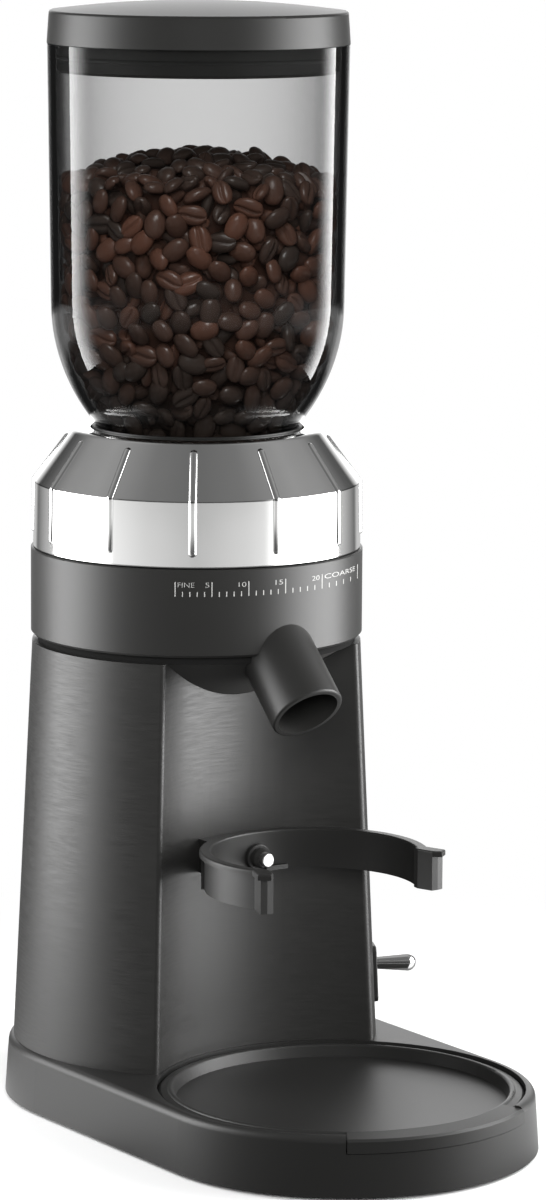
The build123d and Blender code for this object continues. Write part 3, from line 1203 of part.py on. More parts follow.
motor_screw = screw(3.0, 1.8, SCREW_R, CASE_FLOOR + CAN_TOP + 0.5)
with BuildPart() as motor_screws:
    with Locations(*[(x, BURR_Y + y, CASE_LOW_Z + CASE_FLOOR) for x, y in motor_screw_places]):
        add(motor_screw)
motor_screws.part.label = "motor_screws"
export_step(motor_screws.part, "parts/motor_screws.step")
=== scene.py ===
# %% [markdown]
# # Dressing a burr coffee grinder
# The grinder's solids are finished before this lesson starts. Here they get their looks: a
# black satin coat, polished chrome, thick glass, printed marks and a hopper full of roasted beans. Nothing
# that the solids fix is moved. A surface that is already right only takes a finish, and a new mesh is made
# where the solid is plainer than the real thing.

# %% Load the frame
import math

import bpy
import numpy as np
from mathutils import Matrix, Vector


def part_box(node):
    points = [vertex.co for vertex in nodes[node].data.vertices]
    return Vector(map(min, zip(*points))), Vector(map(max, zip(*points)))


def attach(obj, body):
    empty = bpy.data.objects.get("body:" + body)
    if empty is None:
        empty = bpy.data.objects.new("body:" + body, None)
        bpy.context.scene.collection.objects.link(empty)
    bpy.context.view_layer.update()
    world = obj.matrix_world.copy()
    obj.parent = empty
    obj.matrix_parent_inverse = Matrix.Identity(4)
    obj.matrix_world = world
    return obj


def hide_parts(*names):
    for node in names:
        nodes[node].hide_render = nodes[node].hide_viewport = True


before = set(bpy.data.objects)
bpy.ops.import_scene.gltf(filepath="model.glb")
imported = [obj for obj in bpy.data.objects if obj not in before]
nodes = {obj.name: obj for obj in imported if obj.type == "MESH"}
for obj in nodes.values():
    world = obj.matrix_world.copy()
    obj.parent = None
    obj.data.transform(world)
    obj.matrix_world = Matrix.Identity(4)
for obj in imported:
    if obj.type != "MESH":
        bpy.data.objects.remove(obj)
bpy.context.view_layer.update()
MM = 0.001

# %% [markdown]
# ## The camera
# The picture was taken with a long lens, from the front left and a little above. A long lens keeps upright
# edges nearly parallel, so the camera is placed by its own position and three small angles, and no shift is
# needed.

# %% Place the camera
CAMERA_AT = Vector((-1.0661, -1.5861, 0.5163))
HEADING = math.radians(-33.949)
PITCH = math.radians(9.175)
ROLL = math.radians(0.365)
LENS_MM, FILM_MM, SEES_TO = 149.12, 36.0, 60.0

ahead = Vector((-math.sin(HEADING), math.cos(HEADING), 0))
aside = Vector((ahead.y, -ahead.x, 0))
upright = Vector((0, 0, 1))
look = ahead * math.cos(PITCH) - upright * math.sin(PITCH)
over = upright * math.cos(PITCH) + ahead * math.sin(PITCH)
picture_x = aside * math.cos(ROLL) + over * math.sin(ROLL)
picture_y = over * math.cos(ROLL) - aside * math.sin(ROLL)

lens = bpy.data.cameras.new("photo_camera")
lens.lens = LENS_MM
lens.sensor_fit = "VERTICAL"
lens.sensor_height = FILM_MM
lens.clip_end = SEES_TO
camera = bpy.data.objects.new("photo_camera", lens)
turned = Matrix((picture_x, picture_y, -look)).transposed()
camera.matrix_world = Matrix.Translation(CAMERA_AT) @ turned.to_4x4()
bpy.context.scene.collection.objects.link(camera)
bpy.context.scene.camera = camera
print("camera looks along", [round(value, 3) for value in look])

# %% [markdown]
# ## Writing finishes as sums
# A finish is a small sheet of arithmetic: how rough, how dark, how bumpy at each point. Wiring that by hand
# hides the idea, so one class wraps a socket and lets Python's own signs add the Math nodes. Every other
# node comes from one method, which sets the node up first and then fills its sockets.

# %% A socket that can be added and multiplied
class Flow:
    """One output of a node; sums and products of it add Math nodes to the same sheet."""

    def __init__(self, tree, socket=None):
        self.tree, self.socket = tree, socket

    def node(self, kind, settings=None, sockets=None, output=0):
        """Add a node, set it up, fill its sockets with values or links, and return one output."""
        made = self.tree.nodes.new(kind)
        for name, value in (settings or {}).items():
            if name == "stops":
                for stop in value[2:]:
                    made.color_ramp.elements.new(stop[0])
                for element, (place, shade) in zip(made.color_ramp.elements, value):
                    element.position = place
                    element.color = (shade, shade, shade, 1) if isinstance(shade, float) else (*shade, 1)
            else:
                setattr(made, name, value)
        for name, value in (sockets or {}).items():
            if isinstance(value, Flow):
                self.tree.links.new(value.socket, made.inputs[name])
            else:
                made.inputs[name].default_value = value
        return Flow(self.tree, made.outputs[output] if made.outputs else None)

    def maths(self, operation, first, second=0.0):
        """A Math node on one or two values."""
        return self.node("ShaderNodeMath", {"operation": operation}, {0: first, 1: second})

    def __add__(self, other):
        return self.maths("ADD", self, other)

    def __sub__(self, other):
        return self.maths("SUBTRACT", self, other)

    def __rsub__(self, other):
        return self.maths("SUBTRACT", other, self)

    def __mul__(self, other):
        return self.maths("MULTIPLY", self, other)

    def __truediv__(self, other):
        return self.maths("DIVIDE", self, other)

    def __rtruediv__(self, other):
        return self.maths("DIVIDE", other, self)

    def __abs__(self):
        return self.maths("ABSOLUTE", self)

    def between(self, low, high):
        """A smooth step from 0 at low to 1 at high."""
        settings = {"interpolation_type": "SMOOTHSTEP"}
        return self.node("ShaderNodeMapRange", settings, {"Value": self, "From Min": low, "From Max": high})

    __radd__ = __add__
    __rmul__ = __mul__


def blank(name):
    """A new material with an empty sheet of nodes."""
    material = bpy.data.materials.new(name)
    material.use_nodes = True
    material.node_tree.nodes.clear()
    return material, Flow(material.node_tree)


def finish_of(name, base, roughness, normal=None, **plain):
    """A material with one Principled shader: what varies comes as links, what doesn't as plain values."""
    material, sheet = blank(name)
    base, roughness, normal = base(sheet), roughness(sheet), normal(sheet) if normal else None
    sockets = {"Base Color": base, "Roughness": roughness, **plain}
    if normal:
        sockets["Normal"] = normal
    shader = sheet.node("ShaderNodeBsdfPrincipled", sockets=sockets)
    sheet.node("ShaderNodeOutputMaterial", sockets={"Surface": shader})
    return material


print("finishes are written with", Flow.__name__)

# %% [markdown]
# ## Patterns that the finishes share
# Each pattern is read at the point's place on the piece, in metres. A grain that runs round the column is
# ordinary noise with about ten times as many waves upwards as sideways. Colours are mixed with a Mix node.

# %% Noise, grain and colour mixes
COLOUR_A, COLOUR_B, MIXED_COLOUR = 6, 7, 2


def noise(scale, detail=2.0, squeeze=None):
    """Cloudy noise with so many waves to the metre; squeeze stretches it along x, y or z."""

    def pattern(sheet):
        place = sheet.node("ShaderNodeTexCoord", output="Object")
        if squeeze:
            place = sheet.node("ShaderNodeVectorMath", {"operation": "MULTIPLY"}, {0: place, 1: squeeze})
        return sheet.node("ShaderNodeTexNoise", sockets={"Vector": place, "Scale": scale, "Detail": detail})

    return pattern


def mixed(first, second, pattern):
    """A colour that drifts from one to another as a pattern goes from 0 to 1."""

    def colour(sheet):
        sockets = {"Factor": pattern(sheet), COLOUR_A: (*first, 1), COLOUR_B: (*second, 1)}
        return sheet.node("ShaderNodeMix", {"data_type": "RGBA"}, sockets, MIXED_COLOUR)

    return colour


def drifting(level, swing, pattern):
    """A value that swings about a level with a pattern."""
    return lambda sheet: pattern(sheet) * (2 * swing) + (level - swing)


def relief(height, pattern, strength=1.0):
    """A bump of so many metres, made from a pattern."""

    def normal(sheet):
        sockets = {"Strength": strength, "Distance": height, "Height": pattern(sheet)}
        return sheet.node("ShaderNodeBump", sockets=sockets)

    return normal


def height_on(sheet):
    """The height of a point on its piece, in metres."""
    place = sheet.node("ShaderNodeTexCoord", output="Object")
    return sheet.node("ShaderNodeSeparateXYZ", sockets={0: place}, output="Z")


print("patterns feed", mixed.__name__, drifting.__name__, "and", relief.__name__)

# %% [markdown]
# ## The black finishes
# The body is black, but the picture shows it mostly by its sheen: a dark middle between two soft bright
# bands. That takes a very dark base, a middling roughness and a fine tooth. The coated metal of the column
# also has a faint brushed grain that runs level. The moulded parts have a fine spark texture instead. The
# casting under the collar is dull, and its groove is painted darker as shade, where the real gap is deep.

# %% Black satin, brushed and moulded
BLACK_DEEP = (0.0105, 0.0104, 0.01)
BLACK = (0.0135, 0.0134, 0.0128)
BLACK_LIFTED = (0.0185, 0.0183, 0.0175)
GRAIN = noise(1.0, 2.0, squeeze=(110, 110, 1250))
SPARK = noise(2400, 2.0)
CLOUD = noise(14, 2.0)

brushed_black = finish_of("brushed_black", mixed(BLACK, BLACK_LIFTED, GRAIN), drifting(0.42, 0.14, GRAIN),
                          relief(0.03 * MM, GRAIN, 0.7))
satin_black = finish_of("satin_black", mixed(BLACK, BLACK_LIFTED, CLOUD), drifting(0.41, 0.04, SPARK),
                        relief(0.012 * MM, SPARK, 0.3))
moulded_black = finish_of("moulded_black", mixed(BLACK_DEEP, BLACK, SPARK), drifting(0.43, 0.06, SPARK),
                          relief(0.03 * MM, SPARK, 0.55))
DULL = {"Specular IOR Level": 0.08}
# The groove colour is painted shade for the deep gap under the collar, not a colour of the casting.
OPEN_CASTING, GROOVE_PAINTED_SHADE = (0.055, 0.0545, 0.053), (0.01, 0.01, 0.0098)
GROOVE_TALL, GROOVE_EDGE = 2.9 * MM, 0.3 * MM
GROOVE_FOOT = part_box("scale_collar")[0].z - GROOVE_TALL


def in_groove(sheet):
    """Painted shade mask: 0 on the casting below the groove under the collar, 1 inside the groove."""
    return height_on(sheet).between(GROOVE_FOOT - GROOVE_EDGE, GROOVE_FOOT)


cast_black = finish_of("cast_black", mixed(OPEN_CASTING, GROOVE_PAINTED_SHADE, in_groove),
                       drifting(0.85, 0.06, SPARK), relief(0.03 * MM, SPARK, 0.5), **DULL)
rubber_black = finish_of("rubber_black", mixed((0.012, 0.012, 0.012), (0.022, 0.022, 0.021), SPARK),
                         drifting(0.72, 0.08, CLOUD), relief(0.03 * MM, SPARK, 0.5))
blacks = (brushed_black, satin_black, moulded_black, cast_black, rubber_black)
print("black finishes", [made.name for made in blacks])

# %% [markdown]
# ## Metals
# The grind ring and the toggle lever are plated and polished. Polish still has a little wave and haze,
# which keeps the mirror from looking like a computer's. Hidden steel and bronze parts are plainer, with
# turned grain.

# %% Chrome, steel and bronze
HAZE = noise(60, 3.0)
TURNED = noise(1.0, 3.0, squeeze=(60, 60, 2600))
METAL = {"Metallic": 1.0}

chrome = finish_of("polished_chrome", mixed((0.82, 0.82, 0.815), (0.88, 0.88, 0.87), HAZE),
                   drifting(0.1, 0.025, HAZE), relief(0.006 * MM, HAZE, 0.25), **METAL)
bright_steel = finish_of("bright_steel", mixed((0.62, 0.62, 0.63), (0.72, 0.72, 0.72), HAZE),
                         drifting(0.2, 0.06, TURNED), relief(0.004 * MM, TURNED, 0.3), **METAL)
ground_steel = finish_of("ground_steel", mixed((0.36, 0.36, 0.37), (0.5, 0.5, 0.5), TURNED),
                         drifting(0.34, 0.1, TURNED), relief(0.01 * MM, TURNED, 0.5), **METAL)
bronze = finish_of("sintered_bronze", mixed((0.42, 0.26, 0.1), (0.56, 0.37, 0.16), SPARK),
                   drifting(0.42, 0.08, SPARK), relief(0.01 * MM, SPARK, 0.4), **METAL)
satin_steel = finish_of("satin_steel", mixed((0.8, 0.8, 0.79), (0.88, 0.88, 0.87), HAZE),
                        drifting(0.36, 0.05, SPARK), relief(0.004 * MM, SPARK, 0.3), **METAL)
print("metals", [made.name for made in (chrome, bright_steel, ground_steel, bronze, satin_steel)])

# %% [markdown]
# ## Inner plastics and the board
# These show only when the machine is taken apart, but they are finished all the same.

# %% Nylon, liner and circuit board
nylon = finish_of("gear_nylon", mixed((0.66, 0.63, 0.54), (0.76, 0.73, 0.64), CLOUD),
                  drifting(0.45, 0.06, CLOUD), relief(0.01 * MM, SPARK, 0.3))
liner_grey = finish_of("liner_grey", mixed((0.03, 0.03, 0.03), (0.045, 0.045, 0.045), CLOUD),
                       drifting(0.5, 0.06, SPARK), relief(0.02 * MM, SPARK, 0.4))
board_green = finish_of("board_green", mixed((0.012, 0.12, 0.05), (0.02, 0.18, 0.08), noise(160, 1.0)),
                        drifting(0.35, 0.08, CLOUD), relief(0.03 * MM, noise(700, 1.0), 0.4))
print("inner finishes", [made.name for made in (nylon, liner_grey, board_green)])

# %% [markdown]
# ## Thick clear glass
# The hopper is pressed glass a few millimetres thick. Its walls bend the light at the edges, which is what
# draws the dark bands there, so it is a true refracting shader on a wall with two faces. The tint deepens
# towards the edges: a little because light at a slant goes through more glass, and mostly as painted shade
# that darkens the bands there. Lamps are let through as if the glass were thin: a refracting wall would
# otherwise leave the beans in the dark.

# %% Glass
GLASS_TINT = (0.76, 0.765, 0.76, 1)
GLASS_GLEAM, GLASS_BENDS = (0.09, 0.09, 0.09, 1), 1.47
# Tint of the wall by how slantwise it is seen; the dark end is painted shade at the glass's edges.
EDGE_PAINTED_SHADE = [(0.0, 0.77), (0.1, 0.73), (0.2, 0.67), (0.3, 0.58), (0.45, 0.46), (0.6, 0.27), (0.7, 0.16),
              (1.0, 0.13)]


def clear_glass():
    """A refracting wall with painted edge shade, and a thin tint to the light of the lamps."""
    material, sheet = blank("hopper_clear_glass")
    facing = sheet.node("ShaderNodeLayerWeight", sockets={"Blend": 0.5}, output="Facing")
    tint = sheet.node("ShaderNodeValToRGB", {"stops": EDGE_PAINTED_SHADE}, {0: facing})
    sockets = {"Base Color": tint, "Roughness": 0.0, "IOR": GLASS_BENDS, "Transmission Weight": 1.0,
               "Specular Tint": GLASS_GLEAM}
    wall = sheet.node("ShaderNodeBsdfPrincipled", sockets=sockets)
    thin = sheet.node("ShaderNodeBsdfTransparent", sockets={"Color": GLASS_TINT})
    shadow = sheet.node("ShaderNodeLightPath", output="Is Shadow Ray")
    soft = sheet.node("ShaderNodeLightPath", output="Is Diffuse Ray")
    lamp = shadow.maths("MAXIMUM", shadow, soft)
    both = sheet.node("ShaderNodeMixShader", sockets={0: lamp, 1: wall, 2: thin})
    sheet.node("ShaderNodeOutputMaterial", sockets={"Surface": both})
    return material


glass_finish = clear_glass()
print("glass", glass_finish.name)

# %% [markdown]
# ## Finishing the solids that are already right
# Most solids have their true shape and smooth normals, so they only take a finish. One table says which.

# %% Give each solid its finish
FINISHES = {
    brushed_black: "column_shell",
    satin_black: "scale_collar spout lid_cap lid_plug button_plunger",
    cast_black: "grind_housing gear_case",
    moulded_black: "base_housing base_cover grounds_tray fork button_bush toggle_plate toggle_body "
                   "hopper_neck_ring microswitch",
    rubber_black: "rubber_feet cord_gland shaft_seal hopper_seal lid_seal",
    chrome: "grind_ring toggle_lever",
    satin_steel: "button_tip",
    bright_steel: "cover_screws column_screws housing_screws burr_screws fork_screws motor_screws "
                  "burr_nut drive_shaft motor_shaft toggle_nut switch_bracket button_spring middle_bearing "
                  "upper_bearing",
    ground_steel: "cone_burr ring_burr motor_can motor_cap motor_stator motor_rotor",
    bronze: "lower_bush motor_bushes motor_pinion",
    nylon: "drive_gear",
    liner_grey: "ring_liner burr_carrier sweeper",
    board_green: "control_board",
    glass_finish: "hopper_glass",
}
for material, names in FINISHES.items():
    for name in names.split():
        nodes[name].data.materials.clear()
        nodes[name].data.materials.append(material)
unfinished = [name for name, node in nodes.items() if node.data.materials[0] not in FINISHES]
print("solids finished", len(nodes) - len(unfinished), "left", unfinished)

# %% [markdown]
# ## A hopper full of beans
# The beans are what the eye goes to first. One bean is a ring-by-ring mesh: a dome above, a flat side below
# with a curved crease. Many of them are laid against the glass and over the heap by throwing darts: a bean
# is pushed in until it clears the glass, and kept if no earlier bean is too close. A second layer fills the
# gaps behind, and a dark core behind both stops the light. A physics run would also settle them, but it
# takes longer and gives the same picture through the glass.

# %% Measure the inside of the glass
glass = nodes["hopper_glass"]
glass_low, glass_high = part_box("hopper_glass")
BURR_AXIS = Vector(((glass_low.x + glass_high.x) / 2, (glass_low.y + glass_high.y) / 2, 0))
BEANS_LOW, BEANS_RIM, BEANS_CREST = (glass_low.z + up * MM for up in (6.0, 113.5, 125.5))
ROWS_MEASURED = 60
bpy.context.view_layer.update()


def inside_radius(height):
    """How far the inside of the glass is from the burr axis at a height."""
    start = glass.matrix_world.inverted() @ (BURR_AXIS + upright * height)
    place = glass.ray_cast(start, (1, 0, 0))[1]
    return (place - start).length


heights = np.linspace(BEANS_LOW, BEANS_RIM, ROWS_MEASURED)
radii = np.array([inside_radius(height) for height in heights])
slopes = np.gradient(radii, heights)
print("inside radius in mm", radii.min() / MM, "to", radii.max() / MM)

# %% Lay out the beans
BEAN_HALF = np.array((5.5, 4.05, 3.15)) * MM
BEAN_SIZES, ROUND_SIDE_OUT = (0.86, 1.1), 0.62
CLEAR, HEAP_UNEVEN = 0.5 * MM, 0.8 * MM
SEED = 7
dice = np.random.default_rng(SEED)
axis_xy = np.array((BURR_AXIS.x, BURR_AXIS.y))


def turned_to(normal, tilt):
    """Three axes of a bean whose flat or round side faces along a normal, leaning by up to tilt."""
    lean = normal + np.tan(tilt) * dice.uniform(-1, 1, 3)
    up = lean / np.linalg.norm(lean) * (1 if dice.random() < ROUND_SIDE_OUT else -1)
    along = np.cross(up, dice.normal(size=3))
    along /= np.linalg.norm(along)
    return np.array((along, np.cross(up, along), up))


def wall_spot():
    """A random place on the inside of the glass, and the way out through it."""
    chance = radii * np.hypot(1, slopes)
    row = dice.choice(len(heights), p=chance / chance.sum())
    height = heights[row] + dice.uniform(-0.5, 0.5) * (heights[1] - heights[0])
    turn = dice.uniform(0, 2 * np.pi)
    out = np.array((np.cos(turn), np.sin(turn), -np.interp(height, heights, slopes)))
    radius = np.interp(height, heights, radii)
    spot = np.array((radius * np.cos(turn), radius * np.sin(turn) + BURR_AXIS.y, height))
    return spot, out / np.linalg.norm(out)


def heap_spot():
    """A random place on top of the heap, and the way up from it."""
    radius, turn = radii[-1] * np.sqrt(dice.random()), dice.uniform(0, 2 * np.pi)
    fall = (BEANS_CREST - BEANS_RIM) / radii[-1] ** 2
    height = BEANS_CREST - fall * radius ** 2 + dice.normal() * HEAP_UNEVEN
    spot = np.array((radius * np.cos(turn), radius * np.sin(turn) + BURR_AXIS.y, height))
    out = np.array((2 * fall * radius * np.cos(turn), 2 * fall * radius * np.sin(turn), 1))
    return spot, out / np.linalg.norm(out)


def clear_of_glass(middle, half):
    """Move a bean towards the burr axis until it clears the glass."""
    height = np.clip(middle[2], BEANS_LOW, BEANS_RIM)
    away = middle[:2] - axis_xy
    limit = np.interp(height, heights, radii) - half - CLEAR
    reach = np.linalg.norm(away)
    if reach > limit:
        middle[:2] = axis_xy + away * (limit / reach)
    return middle


def throw(spots, darts, depth, apart, tilt, laid):
    """Throw darts at a surface and lay a bean where no other is too close."""
    for _ in range(darts):
        spot, out = spots()
        axes = turned_to(out, tilt)
        size = dice.uniform(*BEAN_SIZES)
        half = np.linalg.norm(axes @ out * BEAN_HALF) * size
        middle = spot - out * (half + CLEAR + depth)
        level = np.array((*(middle[:2] - axis_xy), 0))
        level /= max(np.linalg.norm(level), MM)
        middle = clear_of_glass(middle, np.linalg.norm(axes @ level * BEAN_HALF) * size)
        others = np.array([bean[0] for bean in laid]).reshape(-1, 3)
        if np.all(np.linalg.norm(others - middle, axis=1) > apart):
            laid.append((middle, axes, size))


# Surface, darts, how deep, how far apart, and how far the beans lean
FRONT_LAYER = [(heap_spot, 3000, 0.0, 6.9 * MM, 0.7), (wall_spot, 9000, 0.0, 6.9 * MM, 0.5)]
BACK_LAYER = [(heap_spot, 1500, 4.5 * MM, 6.4 * MM, 1.2), (wall_spot, 5000, 4.5 * MM, 6.4 * MM, 1.2)]
beans = []
for settings in FRONT_LAYER:
    throw(*settings, beans)
shown = len(beans)
for settings in BACK_LAYER:
    throw(*settings, beans)
print("beans in sight", shown, "and behind them", len(beans) - shown)

# %% Shape one bean
FLAT_PLACES = (0.72, 0.42, 0.2, 0.08, -0.04, -0.18, -0.42, -0.72)
BLUNT_ENDS, FLAT_DEEP = 0.85, 1.7 * MM
CREASE_AT, CREASE_WIDE, CREASE_DEEP = 0.02, 0.11, 1.3 * MM
CREASE_BEND, CREASE_WAVE = 0.16, 2.2


def one_bean(rings, dome):
    """Points and faces of a bean: rings along it, each a dome above and a creased flat below."""
    points = [(-BEAN_HALF[0], 0, 0)]
    arc = [math.pi * step / dome for step in range(dome + 1)]
    for ring in range(1, rings):
        along = -math.cos(math.pi * ring / rings)
        girth = math.sin(math.pi * ring / rings) ** BLUNT_ENDS
        bend = CREASE_BEND * math.sin(CREASE_WAVE * along)
        for angle in arc:
            points.append((along * BEAN_HALF[0], math.cos(angle) * girth * BEAN_HALF[1],
                           math.sin(angle) * girth * BEAN_HALF[2]))
        for place in FLAT_PLACES[::-1]:
            crease = math.exp(-((place - CREASE_AT) / CREASE_WIDE) ** 2)
            side = place + bend * (1 - place ** 2)
            low = -(1 - place ** 4) * FLAT_DEEP + crease * CREASE_DEEP
            points.append((along * BEAN_HALF[0], side * girth * BEAN_HALF[1], low * girth))
    points.append((BEAN_HALF[0], 0, 0))
    round_count = dome + 1 + len(FLAT_PLACES)
    faces = []
    for step in range(round_count):
        here, there = 1 + step, 1 + (step + 1) % round_count
        faces.append((0, there, here))
        for ring in range(rings - 2):
            base = ring * round_count
            beyond = base + round_count
            faces.append((base + here, base + there, beyond + there, beyond + here))
        base = (rings - 2) * round_count
        faces.append((base + here, base + there, len(points) - 1))
    return np.array(points), faces


FINE_BEAN, PLAIN_BEAN = (11, 9), (7, 5)
print("faces of a bean", [len(one_bean(*detail)[1]) for detail in (FINE_BEAN, PLAIN_BEAN)])

# %% Gather beans into one mesh
def riding(name, points, faces, finish, body, smooth=True):
    """A mesh with one finish that rides on a body."""
    mesh = bpy.data.meshes.new(name)
    mesh.from_pydata(points, [], faces)
    if smooth:
        mesh.shade_smooth()
    mesh.materials.append(finish)
    made = bpy.data.objects.new(name, mesh)
    bpy.context.scene.collection.objects.link(made)
    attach(made, body)
    print(name, len(faces), "faces, on", body)
    return made


def heap_of(name, laid, detail, finish):
    """One mesh of many beans, riding on the hopper."""
    points, faces = one_bean(*detail)
    all_points = np.concatenate([size * points @ axes + middle for middle, axes, size in laid])
    starts = range(0, len(all_points), len(points))
    all_faces = [[corner + start for corner in face] for start in starts for face in faces]
    return riding(name, all_points.tolist(), all_faces, finish, "hopper")


print("a heap is one mesh made by", heap_of.__name__)

# %% [markdown]
# ### Roasted skin
# Each bean is its own island of the mesh, so the island's random number gives it its own brown. A wrinkled
# noise makes the skin, and a low, uneven gloss stands for the oil. The browns are painted darker as shade
# at the neck and at the crest of the heap, which are out of the light.

# %% Finish the beans
# The dark end is both the darkest roast and the painted shade at the neck and the crest.
DARK_ROAST_AND_SHADE, ROAST_LIGHT = (0.0225, 0.0165, 0.0138), (0.064, 0.0285, 0.019)
NECK_DARK, NECK_LIT = BEANS_LOW + 8 * MM, BEANS_LOW + 62 * MM
CREST_DEEP, CREST_SHADE = 14 * MM, 0.8
LOW_GLOSS = {"Specular IOR Level": 0.24}
WRINKLE = noise(420, 3.0)


def in_the_light(sheet):
    """Each bean's own brown, with painted shade where the heap's neck and crest are out of the light."""
    height = height_on(sheet)
    own = sheet.node("ShaderNodeNewGeometry", output="Random Per Island")
    crest = height.between(BEANS_RIM - CREST_DEEP, BEANS_CREST)
    return own * height.between(NECK_DARK, NECK_LIT) * (1 - crest * CREST_SHADE)


roast = finish_of("roasted_bean", mixed(DARK_ROAST_AND_SHADE, ROAST_LIGHT, in_the_light),
                  drifting(0.32, 0.08, WRINKLE), relief(0.3 * MM, WRINKLE, 0.6), **LOW_GLOSS)
front_beans, back_beans = beans[:shown], beans[shown:]
middle_height = np.median([bean[0][2] for bean in front_beans])
upper_beans = [bean for bean in front_beans if bean[0][2] >= middle_height]
lower_beans = [bean for bean in front_beans if bean[0][2] < middle_height]
bean_heaps = [heap_of("beans_upper", upper_beans, FINE_BEAN, roast),
              heap_of("beans_lower", lower_beans, FINE_BEAN, roast),
              heap_of("beans_behind", back_beans, PLAIN_BEAN, roast)]

# %% [markdown]
# ### The dark core
# Behind the two layers stands a plain turned shape. It only keeps light from shining through the heap.

# %% Turn a profile about the burr axis
CORE_DEEP, CORE_STEPS, CORE_EVERY = 11 * MM, 96, 4
CORE_SHOULDER, CORE_CROWN = 0.7, 0.3


def lathe(profile, steps):
    """Points and faces of a closed shape: a profile of (radius, height) spun about the burr axis."""
    angles = [2 * math.pi * step / steps for step in range(steps)]
    points = [(radius * math.cos(turn), radius * math.sin(turn) + BURR_AXIS.y, height)
              for radius, height in profile for turn in angles]
    faces = [list(range(steps))[::-1], [(len(profile) - 1) * steps + step for step in range(steps)]]
    for row in range(len(profile) - 1):
        for step in range(steps):
            after, above = (step + 1) % steps, (row + 1) * steps
            faces.append((row * steps + step, row * steps + after, above + after, above + step))
    return points, faces


core_profile = [*zip(radii[::CORE_EVERY] - CORE_DEEP, heights[::CORE_EVERY])]
core_profile.append((radii[-1] * CORE_SHOULDER, heights[-1]))
core_profile.append((radii[-1] * CORE_CROWN, BEANS_CREST - CORE_DEEP))
riding("bean_core", *lathe(core_profile, CORE_STEPS), roast, "hopper")

# %% [markdown]
# ## The chromed grind ring
# Chrome shows every facet and every slip of a normal, so the ring gets a mesh of its own over the same
# outline: a rounded profile, spun in uneven steps that crowd together at each of the twelve ribs. A rib is
# a bead with round ends that follows the wall and bends over the cone.

# %% Round the ring's profile
CURVE_STEPS, GUARD = 6, 0.35
CORNER_POINTS = CURVE_STEPS + 2
# Radius, height above the ring's foot and rounding of each corner, in mm
RING_CORNERS = [(61.4, 0, 0.3), (65.0, 0, 0.5), (64.6, 26.0, 0.8), (48.79, 47.3, 3.4), (42.3, 47.3, 0.5),
                (42.3, 43.49, 0.2), (47.63, 43.49, 0.2), (61.4, 24.95, 0.6)]


def rounded(corners):
    """A closed profile in mm, with each corner turned into a short curve.

    A guard point just outside each end of a curve keeps the flat runs between them flat in the mirror.
    """
    path = []
    for number, (radius, height, rounding) in enumerate(corners):
        here = np.array((radius, height))
        before = np.array(corners[number - 1][:2]) - here
        after = np.array(corners[(number + 1) % len(corners)][:2]) - here
        before, after = before / np.linalg.norm(before), after / np.linalg.norm(after)
        cut = rounding / math.tan(math.acos(before @ after) / 2)
        path.append(here + before * (cut + GUARD))
        for share in np.linspace(0, 1, CURVE_STEPS):
            path.append(here + before * cut * (1 - share) ** 2 + after * cut * share ** 2)
        path.append(here + after * (cut + GUARD))
    return np.array(path)


ring_path = rounded(RING_CORNERS)
print("ring profile points", len(ring_path))

# %% Add a row wherever a rib ends
RIBS, RIB_FIRST, RIB_HALF, RIB_RISE = 12, math.radians(-94.5), 1.41, 0.85
RIB_FROM, RIB_TO = 6.2, 43.0
RIB_SHARES = np.array((0, 0.3, 0.55, 0.75, 0.9, 0.97, 1.0, 1.3))
along = np.concatenate(([0], np.cumsum(np.linalg.norm(np.diff(ring_path, axis=0), axis=1))))
outside = slice(2 * CORNER_POINTS - 1, 3 * CORNER_POINTS + 1)
rib_low, rib_high = np.interp((RIB_FROM, RIB_TO), ring_path[outside, 1], along[outside])
rib_ends = (rib_low - RIB_HALF * RIB_SHARES, rib_high + RIB_HALF * RIB_SHARES)
rows = np.unique(np.concatenate((along, *rib_ends)))
row_r, row_z = np.interp(rows, along, ring_path[:, 0]), np.interp(rows, along, ring_path[:, 1])
out_r, out_z = np.gradient(row_z, rows), -np.gradient(row_r, rows)
past_end = np.maximum(np.maximum(rib_low - rows, rows - rib_high), 0)
print("rows round the ring", len(rows))

# %% Spin the ring with its ribs
PLAIN_STEPS, RIB_SHAPE = 9, 0.55
PITCH_TURN = 2 * math.pi / RIBS
ring_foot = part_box("grind_ring")[0].z
rib_arc = np.concatenate((-RIB_SHARES[:0:-1], RIB_SHARES)) * RIB_HALF


def spun_ring():
    """Points and faces of the whole ring; each row has the same count of points, crowded at the ribs."""
    points = []
    for radius, height, way_r, way_z, past in zip(row_r, row_z, out_r, out_z, past_end):
        share = np.minimum(np.hypot(rib_arc, past) / RIB_HALF, 1)
        rise = RIB_RISE * (1 - share ** 2) ** RIB_SHAPE
        gap = np.linspace(rib_arc[-1] / radius, PITCH_TURN - rib_arc[-1] / radius, PLAIN_STEPS + 2)[1:-1]
        turns, rises = np.concatenate((rib_arc / radius, gap)), np.concatenate((rise, gap * 0))
        for rib in range(RIBS):
            for turn, lift in zip(turns + RIB_FIRST + rib * PITCH_TURN, rises):
                reach = (radius + way_r * lift) * MM
                points.append((reach * math.cos(turn), BURR_AXIS.y + reach * math.sin(turn),
                               ring_foot + (height + way_z * lift) * MM))
    count = len(points) // len(rows)
    faces = []
    for row in range(len(rows)):
        here, above = row * count, (row + 1) % len(rows) * count
        for step in range(count):
            after = (step + 1) % count
            faces.append((here + step, here + after, above + after, above + step))
    return points, faces


chromed_ring = riding("chromed_ring", *spun_ring(), chrome, "ring")
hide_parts("grind_ring")

# %% [markdown]
# ## The printed scale
# The collar carries a white grind scale, with a long mark at every fifth. The picture shows the marks
# evenly spaced from left to right, so on the round collar they open out towards the coarse end. A mark is a
# thin plate, and a word is Blender's own text turned into a mesh. Both are laid on the collar by their turn
# round it and their height.

# %% Measure the collar
collar_low, collar_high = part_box("scale_collar")
COLLAR_R = (collar_high.x - collar_low.x) / 2
MARKS, LONG_EVERY = 26, 5
